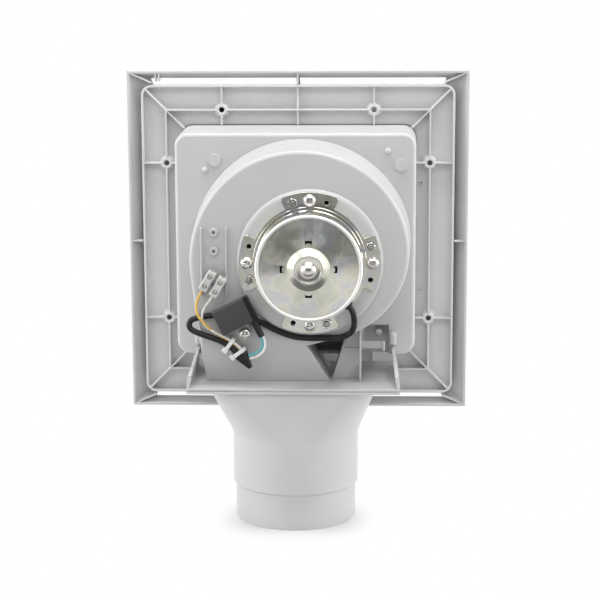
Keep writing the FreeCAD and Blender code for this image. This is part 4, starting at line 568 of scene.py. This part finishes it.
def can_profile():
    """The can's wall: inside from the boss out to the flange, then back over rim, dish, boss and dome."""
    inside = [(0.0, -150.1), (5.5, -145.6), (8.05, -145.6), (8.05, -138.6), (9.05, -138.6), (11.0, -142.6)]
    inside += [(38.0, -137.6), (41.0, -137.6), (41.0, FLANGE_BACK)]
    flange = [(45.0, FLANGE_BACK), (45.0, -112.5), (44.8, -112.7), (42.3, -112.7), (RIM_R, -113.0)]
    roll = [math.radians(a) for a in range(0, 181, 15)]
    rim = [
        (RIM_R - RIM_ROLL + RIM_ROLL * math.cos(a), RIM_BACK + RIM_ROLL - RIM_ROLL * math.sin(a))
        for a in roll
    ]
    dish = [(FACE_EDGE, FACE_Y), (38.2, -138.75), (17.2, -143.45), (16.2, -143.75)]
    boss = [(11.7, -146.6), (11.2, -146.9), (10.6, -146.9), (10.2, -146.75), (7.9, -145.95), (7.2, -145.95)]
    rise = [math.radians(a) for a in range(5, 90, 10)]
    dome = [(DOME_R * math.cos(a), DOME_FOOT - DOME_RISE * math.sin(a)) for a in rise]
    return inside + flange + rim + dish + boss + dome + [(0.0, DOME_FOOT - DOME_RISE)]


def slot_outline():
    """A slot with two short legs that point to the axis."""
    half, low, high = SLOT_LENGTH / 2, SLOT_R - SLOT_WIDTH / 2, SLOT_R + SLOT_WIDTH / 2
    bar_low = high - SLOT_BAR
    return (
        (-half, low), (-half + SLOT_LEG, low), (-half + SLOT_LEG, bar_low), (half - SLOT_LEG, bar_low),
        (half - SLOT_LEG, low), (half, low), (half, high), (-half, high),
    )


zinc_plated_steel = zinc_finish()
rounded_copy("motor_front_shell", 0.25, "casing", zinc_plated_steel, flat=0.05)
to_axis = Matrix.Translation((AXIS[0] * MM, 0.0, AXIS[1] * MM))
can = placed("motor_rear_can_form", turned_form("motor_rear_can_form", can_profile(), CAN_STEPS))
can.data.transform(to_axis)
for quarter in range(4):
    slot_cutter = prism_form("slot_cutter", slot_outline(), *SLOT_CUT_Y)
    slot_cutter.transform(to_axis @ Matrix.Rotation(quarter * math.pi / 2, 4, "Y"))
    cut_from(can, slot_cutter)
finished_mesh(can)
can.data.materials.clear()
can.data.materials.append(zinc_plated_steel)
# The faces out on the rolled rim take a lighter, rougher steel than the rest of the can: a painted highlight
# for the white band that the rim's round mirrors.
can.data.materials.append(steel_finish("burnished_rim", (0.88, 0.87, 0.84), (0.94, 0.93, 0.91), (0.3, 0.4)))
for face in can.data.polygons:
    out = math.hypot(face.center.x / MM - AXIS[0], face.center.z / MM - AXIS[1])
    face.material_index = 1 if out > FACE_EDGE - 0.1 and face.center.y / MM < FACE_Y + 0.1 else 0
can.data.shade_smooth()
can.data.set_sharp_from_angle(angle=math.radians(32))
stands_for(can, "motor_rear_can", "casing")


# Motor fasteners: a pan head screw in the middle of each petal, and beside it a hexagon nut on a bolt.
# The bolts clamp the two shells together, and the nuts are bright zinc plated steel.
PETAL_SCREW_R, PETAL_STEP = 49.9, 15.5
FLANGED_SCREW_D, FLANGED_SCREW_EDGE, PETAL_SCREW_SHANK = 4.0, 0.3, 8.2
NUT_FLATS, NUT_HIGH, NUT_BORE, NUT_STEPS = 7.0, 3.0, 2.05, 48


def petal_places(step):
    """One place on each petal, turned by a step in degrees from its middle."""
    turns = [math.radians(90 * k + step) for k in range(4)]
    return [
        (AXIS[0] + PETAL_SCREW_R * math.cos(a), FLANGE_BACK, AXIS[1] + PETAL_SCREW_R * math.sin(a))
        for a in turns
    ]


def hexagon_nut(name, flats, high, bore):
    """A hexagon nut that stands on the origin to -Y, in millimetres, with chamfers and an open bore."""
    shape = bmesh.new()
    corner = flats / math.sqrt(3)
    rings = []
    for radius, y, round_share in (
        (bore, 0.0, 1.0), (corner, 0.0, 0.0), (corner, -0.72 * high, 0.0), (0.46 * flats, -high, 1.0),
        (1.3 * bore, -high, 1.0), (bore, -0.7 * high, 1.0),
    ):
        ring = []
        for k in range(NUT_STEPS):
            a = 2 * math.pi * k / NUT_STEPS
            side = math.cos(math.pi / 6) / math.cos((a + math.pi / 6) % (math.pi / 3) - math.pi / 6)
            r = radius * (round_share + (1 - round_share) * side)
            ring.append(shape.verts.new((r * MM * math.cos(a), y * MM, r * MM * math.sin(a))))
        rings.append(ring)
    for this, following in zip(rings, rings[1:] + rings[:1]):
        for k in range(NUT_STEPS):
            n = (k + 1) % NUT_STEPS
            shape.faces.new([this[k], this[n], following[n], following[k]])
    mesh = plain_mesh(shape, name)
    mesh.shade_smooth()
    mesh.set_sharp_from_angle(angle=math.radians(28))
    return placed(name, mesh)


petal_screw = pan_head("motor_screw_one", FLANGED_SCREW_D, PETAL_SCREW_SHANK, FLANGED_SCREW_EDGE)
fastener_group("motor_screws", petal_screw, petal_places(0.0), 11)
bolt_nut = hexagon_nut("motor_nut_one", NUT_FLATS, NUT_HIGH, NUT_BORE)
fastener_group("motor_nuts", bolt_nut, petal_places(PETAL_STEP), 4)
dull_steel = steel_finish("dull_steel", (0.30, 0.295, 0.28), (0.42, 0.41, 0.39), (0.24, 0.36))
rounded_copy("motor_bolts", 0.5, "casing", dull_steel)


# Motor lead: a round black lead that leaves the can through a rubber grommet and lies round the collar.
# It turns back at the box's left side and ends under a black cap, where its cores meet the single wires.
LEAD_D = 4.8
MOTOR_LEAD = (
    (44.61, -119.0, -35.38), (47.3, -119.0, -38.27), (48.6, -117.2, -45.5), (48.6, -112.6, -52.6),
    (45.6, -109.6, -58.8), (37.6, -108.9, -62.2), (26.2, -108.8, -62.4), (13.6, -108.8, -62.8),
    (1.0, -108.8, -61.8), (-12.0, -108.8, -57.4), (-25.0, -108.7, -50.3), (-38.5, -108.7, -45.1),
    (-52.0, -108.7, -43.4), (-65.0, -108.9, -44.2), (-75.0, -109.2, -45.8), (-83.0, -109.6, -48.2),
    (-83.6, -109.8, -54.6), (-77.6, -110.1, -58.0), (-70.2, -110.4, -60.6), (-61.8, -110.6, -63.2),
    (-54.0, -110.8, -66.9), (-49.8, -110.9, -70.05), (-46.5, -111.0, -73.0), (-43.5, -111.0, -77.0),
)


def drawn_lead(node, route, diameter, finish):
    """A round lead whose line is a smooth spline on its route's points, in millimetres."""
    data = bpy.data.curves.new(node + "_flex", "CURVE")
    data.dimensions = "3D"
    data.bevel_depth = diameter / 2 * MM
    data.bevel_resolution = 6
    data.resolution_u = 10
    data.use_fill_caps = True
    line = data.splines.new("NURBS")
    line.points.add(len(route) - 1)
    for point, (x, y, z) in zip(line.points, route):
        point.co = (x * MM, y * MM, z * MM, 1.0)
    line.order_u = 3
    line.use_endpoint_u = True
    data.materials.append(finish)
    piece = placed(node + "_flex", data)
    stands_for(piece, node, "casing")
    return piece


black_insulation = moulded_finish(
    "black_insulation", (0.01, 0.01, 0.011), (0.017, 0.017, 0.018), 900.0, (0.3, 0.4), 0.35)
black_rubber = moulded_finish("black_rubber", (0.012, 0.012, 0.012), (0.02, 0.02, 0.02), 1300.0, (0.55, 0.7))
rounded_copy("lead_grommet", 0.2, "casing", black_rubber)
motor_lead = drawn_lead("motor_lead", MOTOR_LEAD, LEAD_D, black_insulation)
rounded_copy("lead_splice_cap", 0.2, "casing", black_insulation)


# Single wires of PVC insulated strand: a yellow and a white one from the splice up to the terminal block.
# A teal and a white one loop from the capacitor's sleeve back into the splice.
WIRE_D = 2.0
LIVE_WIRE = (
    (-70.6, -113.6, -20.5), (-74.4, -113.6, -26.95), (-77.2, -115.0, -34.2), (-76.6, -116.6, -41.6),
    (-72.0, -117.0, -48.2), (-65.5, -114.6, -55.0), (-58.5, -112.0, -60.3), (-52.0, -110.6, -64.2),
    (-47.6, -110.0, -67.3), (-43.7, -110.1, -70.9), (-40.7, -110.1, -74.9),
)
NEUTRAL_WIRE = (
    (-62.5, -113.6, -25.3), (-66.05, -113.6, -31.35), (-70.3, -113.6, -36.6), (-72.8, -113.6, -42.6),
    (-72.3, -113.6, -49.2), (-67.8, -114.2, -53.8), (-60.8, -115.2, -57.6), (-53.6, -112.5, -61.6),
    (-47.0, -112.2, -65.8), (-42.58, -112.2, -70.06), (-39.58, -112.2, -74.06),
)
CAPACITOR_WIRE_TEAL = (
    (-25.88, -116.85, -60.29), (-24.58, -116.85, -62.9), (-24.3, -116.2, -67.2), (-26.3, -115.3, -71.2),
    (-30.2, -114.2, -74.0), (-33.4, -113.4, -75.0), (-35.7, -112.6, -75.9),
)
CAPACITOR_WIRE_WHITE = (
    (-23.92, -116.85, -59.31), (-22.58, -116.85, -62.0), (-22.0, -116.4, -67.4), (-24.2, -115.6, -72.9),
    (-29.0, -114.6, -76.6), (-32.4, -113.6, -77.8), (-34.8, -112.6, -78.6),
)
yellow_insulation = moulded_finish("yellow_insulation", (0.66, 0.40, 0.06), (0.76, 0.50, 0.10), 900.0, SATIN)
white_insulation = moulded_finish("white_insulation", (0.74, 0.73, 0.71), (0.82, 0.81, 0.79), 900.0, SATIN)
teal_insulation = moulded_finish("teal_insulation", (0.07, 0.36, 0.40), (0.12, 0.46, 0.50), 900.0, SATIN)
for node, route, length, finish, slot in (
    ("live_wire", LIVE_WIRE, 0.0721, yellow_insulation, "yellow_insulation"),
    ("neutral_wire", NEUTRAL_WIRE, 0.0688, white_insulation, "white_insulation"),
):
    wire = drawn_lead(node, route, WIRE_D, finish)
drawn_lead("capacitor_wire_teal", CAPACITOR_WIRE_TEAL, WIRE_D, teal_insulation)
drawn_lead("capacitor_wire_white", CAPACITOR_WIRE_WHITE, WIRE_D, white_insulation)


# Cable ties: two ties moulded in white nylon, drawn tight round the lead and the single wires.
# Each has a small square head, through which its strap is locked.
white_nylon = moulded_finish("white_nylon", (0.76, 0.76, 0.74), (0.84, 0.84, 0.82), 1500.0, (0.34, 0.46))
merged_rounds(rounded_copy("cable_ties", 0.25, "casing", white_nylon))


# Terminal block: two moulded poles of pale plastic with brass inserts and slotted clamp screws.
# It lies loose in the channel on the scroll's back, and the supply wires enter it from above.
terminal_plastic = moulded_finish(
    "terminal_plastic", (0.49, 0.49, 0.48), (0.57, 0.57, 0.56), 1600.0, (0.28, 0.4))
rounded_copy("terminal_block", 0.2, "casing", terminal_plastic)
rounded_copy("terminal_inserts", 0.1, "casing", brass)
rounded_copy("terminal_screws", 0.1, "casing", bright_steel)


# Capacitor: a charcoal plastic case with a lead sleeve at its lower corner.
# A screw through its ear holds it on a boss of the scroll.
CAPACITOR_AT, CAPACITOR_TURN = (-46.2, -42.7), 26.5
CAPACITOR_X, CAPACITOR_Z, BLACK_END = 30.5, 20.4, 3.4
EAR_SCREW_SHANK = 7.2


def capacitor_finish():
    """Charcoal case, black over a band at the end where the wires leave it, and a plain grey ear."""
    material = moulded_finish(
        "capacitor_plastic", (0.052, 0.050, 0.054), (0.064, 0.062, 0.066), 1400.0, (0.4, 0.52), 0.25)
    tree = material.node_tree
    shader = tree.nodes["Principled BSDF"]
    offset = tree.nodes.new("ShaderNodeVectorMath")
    offset.operation = "SUBTRACT"
    offset.inputs[1].default_value = (CAPACITOR_AT[0] * MM, 0.0, CAPACITOR_AT[1] * MM)
    tree.links.new(tree.nodes["Texture Coordinate"].outputs["Object"], offset.inputs[0])
    colour = shader.inputs["Base Color"].links[0].from_socket
    turn = math.radians(CAPACITOR_TURN)
    black_end_from, ear_from = CAPACITOR_X / 2 - BLACK_END, CAPACITOR_Z / 2
    # Past a line near the end where the wires leave it the case turns black, and past the ear's edge it turns
    # grey.
    for axis, limit, paint in (
        ((math.cos(turn), 0.0, math.sin(turn)), black_end_from, (0.008, 0.008, 0.009)),
        ((math.sin(turn), 0.0, -math.cos(turn)), ear_from, (0.34, 0.34, 0.335)),
    ):
        along = tree.nodes.new("ShaderNodeVectorMath")
        along.operation = "DOT_PRODUCT"
        along.inputs[1].default_value = axis
        tree.links.new(offset.outputs["Vector"], along.inputs[0])
        past = tree.nodes.new("ShaderNodeMath")
        past.operation = "GREATER_THAN"
        past.inputs[1].default_value = limit * MM
        tree.links.new(along.outputs["Value"], past.inputs[0])
        blend = tree.nodes.new("ShaderNodeMix")
        blend.data_type = "RGBA"
        blend.inputs["B"].default_value = (*paint, 1.0)
        tree.links.new(past.outputs["Value"], blend.inputs["Factor"])
        tree.links.new(colour, blend.inputs["A"])
        colour = blend.outputs["Result"]
    tree.links.new(colour, shader.inputs["Base Color"])
    return material


rounded_copy("capacitor", 0.3, "casing", capacitor_finish())
rounded_copy("capacitor_sleeve", 0.2, "casing", black_insulation)
ear_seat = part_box("capacitor_screw")[0].y / MM + HEAD_RISE * FLANGED_SCREW_D
ear_places = [(x, ear_seat, z) for x, z in islands("capacitor_screw")]
ear_screw = pan_head("capacitor_screw_one", FLANGED_SCREW_D, EAR_SCREW_SHANK, FLANGED_SCREW_EDGE)
fastener_group("capacitor_screw", ear_screw, ear_places, 2)


# Studio: a white floor under the spigot, soft boxes at both sides and above, and a dark card.
# The card and the dark strips give the plated steel something dark to mirror, as an unlit room does.
FLOOR, WIDE = cad_box[0][2], 4.0
SHADE_AT, SHADE_STRETCH, SHADE_FROM, SHADE_TO = (0.0, 0.09, 0.0), (1.2, 1.0, 0.0), 0.03, 0.085
PAPER, FLOOR_GLOW = (0.6, 0.6, 0.6), 0.1
CARD_HALF, CARD_Y, CARD_TOP = 1.1, -1.95, 0.74
APRON_END, STRIP_LEFT = -1.62, -0.3
STRIP_HEIGHT = FLOOR + 0.001


def stage_plane(name, corners, material):
    mesh = bpy.data.meshes.new(name)
    mesh.from_pydata(corners, [], [range(len(corners))])
    mesh.materials.append(material)
    plane = placed(name, mesh)
    return plane


def level_corners(left, right, near, far, height):
    return [(left, near, height), (right, near, height), (right, far, height), (left, far, height)]


def shown_or_lit(tree, socket, shown, lit):
    """One strength for what is seen, mirrored or not, and another for what lights the object."""
    path = tree.nodes.new("ShaderNodeLightPath")
    total = path.outputs["Is Camera Ray"]
    for other in ("Is Glossy Ray", "Is Transmission Ray"):
        larger = tree.nodes.new("ShaderNodeMath")
        larger.operation = "MAXIMUM"
        tree.links.new(total, larger.inputs[0])
        tree.links.new(path.outputs[other], larger.inputs[1])
        total = larger.outputs["Value"]
    pick = tree.nodes.new("ShaderNodeMapRange")
    pick.inputs["To Min"].default_value = lit
    pick.inputs["To Max"].default_value = shown
    tree.links.new(total, pick.inputs["Value"])
    tree.links.new(pick.outputs["Result"], socket)


def floor_finish():
    """White paper that takes light and shadow at the spigot's foot, and fades to plain white further out."""
    material, tree, shader, place = new_finish("white_floor")
    shader.inputs["Roughness"].default_value = 0.9
    shader.inputs["Specular IOR Level"].default_value = 0.0
    shader.inputs["Emission Color"].default_value = (1.0, 1.0, 1.0, 1.0)
    foot = tree.nodes.new("ShaderNodeVectorMath")
    foot.operation = "MULTIPLY_ADD"
    foot.inputs[1].default_value = SHADE_STRETCH
    foot.inputs[2].default_value = SHADE_AT
    tree.links.new(place, foot.inputs[0])
    reach = tree.nodes.new("ShaderNodeVectorMath")
    reach.operation = "LENGTH"
    tree.links.new(foot.outputs["Vector"], reach.inputs[0])
    fade = tree.nodes.new("ShaderNodeMapRange")
    fade.interpolation_type = "SMOOTHSTEP"
    fade.inputs["From Min"].default_value = SHADE_FROM
    fade.inputs["From Max"].default_value = SHADE_TO
    tree.links.new(reach.outputs["Value"], fade.inputs["Value"])
    tones(tree, fade.outputs["Result"], shader.inputs["Base Color"], (0.0, PAPER), (1.0, (0.0, 0.0, 0.0)))
    glow = tree.nodes.new("ShaderNodeMath")
    glow.operation = "MULTIPLY_ADD"
    tree.links.new(fade.outputs["Result"], glow.inputs[0])
    glow.inputs[1].default_value = 1.0 - FLOOR_GLOW
    shown_or_lit(tree, glow.inputs[2], FLOOR_GLOW, 0.0)
    tree.links.new(glow.outputs["Value"], shader.inputs["Emission Strength"])
    return material


stage_plane("floor", level_corners(-WIDE, WIDE, -WIDE, WIDE, FLOOR), floor_finish())
card_paint = moulded_finish("card_paint", (0.07, 0.07, 0.073), (0.085, 0.085, 0.088))
card_corners = [(-CARD_HALF, FLOOR), (CARD_HALF, FLOOR), (CARD_HALF, CARD_TOP), (-CARD_HALF, CARD_TOP)]
card = stage_plane("dark_card", [(x, CARD_Y, z) for x, z in card_corners], card_paint)
card.visible_camera = False
for name, left, right, near, far in (
    ("dark_strip", STRIP_LEFT, 0.32, -0.36, -0.18), ("dark_apron", -CARD_HALF, CARD_HALF, CARD_Y, APRON_END),
    ("dark_corner", -CARD_HALF, STRIP_LEFT, APRON_END, -1.0),
):
    shade = stage_plane(name, level_corners(left, right, near, far, STRIP_HEIGHT), card_paint)
    shade.visible_camera = False
    shade.visible_diffuse = False
    shade.visible_shadow = False

LIT_PLACE = Vector((0.0, -0.05, 0.0))
for name, place, size, energy in (
    ("front_box", (0.1, -1.7, 1.4), (1.8, 0.8), 12.2),
    ("left_front_box", (-1.35, -1.3, 0.5), (0.9, 1.4), 5.4),
    ("right_front_box", (1.35, -1.3, 0.5), (0.9, 1.4), 3.0),
    ("left_box", (-1.4, -0.05, 0.1), (0.9, 1.4), 15.5),
    ("right_box", (1.4, -0.05, 0.1), (0.9, 1.4), 15.5),
    ("top_box", (0.0, -0.22, 1.4), (1.4, 0.5), 20.0),
):
    lamp = bpy.data.lights.new(name, "AREA")
    lamp.shape = "RECTANGLE"
    lamp.size, lamp.size_y = size
    lamp.energy = energy
    holder = placed(name, lamp)
    holder.location = place
    holder.rotation_euler = (LIT_PLACE - Vector(place)).to_track_quat("-Z", "Y").to_euler()

world = bpy.data.worlds.new("studio")
scene.world = world
world.use_nodes = True
backdrop = world.node_tree.nodes["Background"]
backdrop.inputs["Color"].default_value = (1.0, 1.0, 1.0, 1.0)
shown_or_lit(world.node_tree, backdrop.inputs["Strength"], 1.0, 0.26)


# Camera: a long lens a little above the fan, from the wall side, as the photograph was taken.
# It looks down by about ten degrees and a little to the left.
CAMERA_AT = Vector((52.4, -1400.2, 202.1)) * MM
YAW, PITCH, ROLL = (math.radians(a) for a in (2.087, 10.253, -0.213))
ahead = Vector((-math.sin(YAW) * math.cos(PITCH), math.cos(YAW) * math.cos(PITCH), -math.sin(PITCH)))
level = Vector((math.cos(YAW), math.sin(YAW), 0.0))
upright = level.cross(ahead)
across = math.cos(ROLL) * level + math.sin(ROLL) * upright
upward = math.cos(ROLL) * upright - math.sin(ROLL) * level
lens = bpy.data.cameras.new("camera")
lens.sensor_width = 36.0
lens.lens = 99.0
lens.clip_start = 0.05
camera = placed("camera", lens)
turned = Matrix((across, upward, -ahead)).transposed().to_4x4()
camera.matrix_world = Matrix.Translation(CAMERA_AT) @ turned
scene.camera = camera
scene.view_settings.view_transform = "Standard"
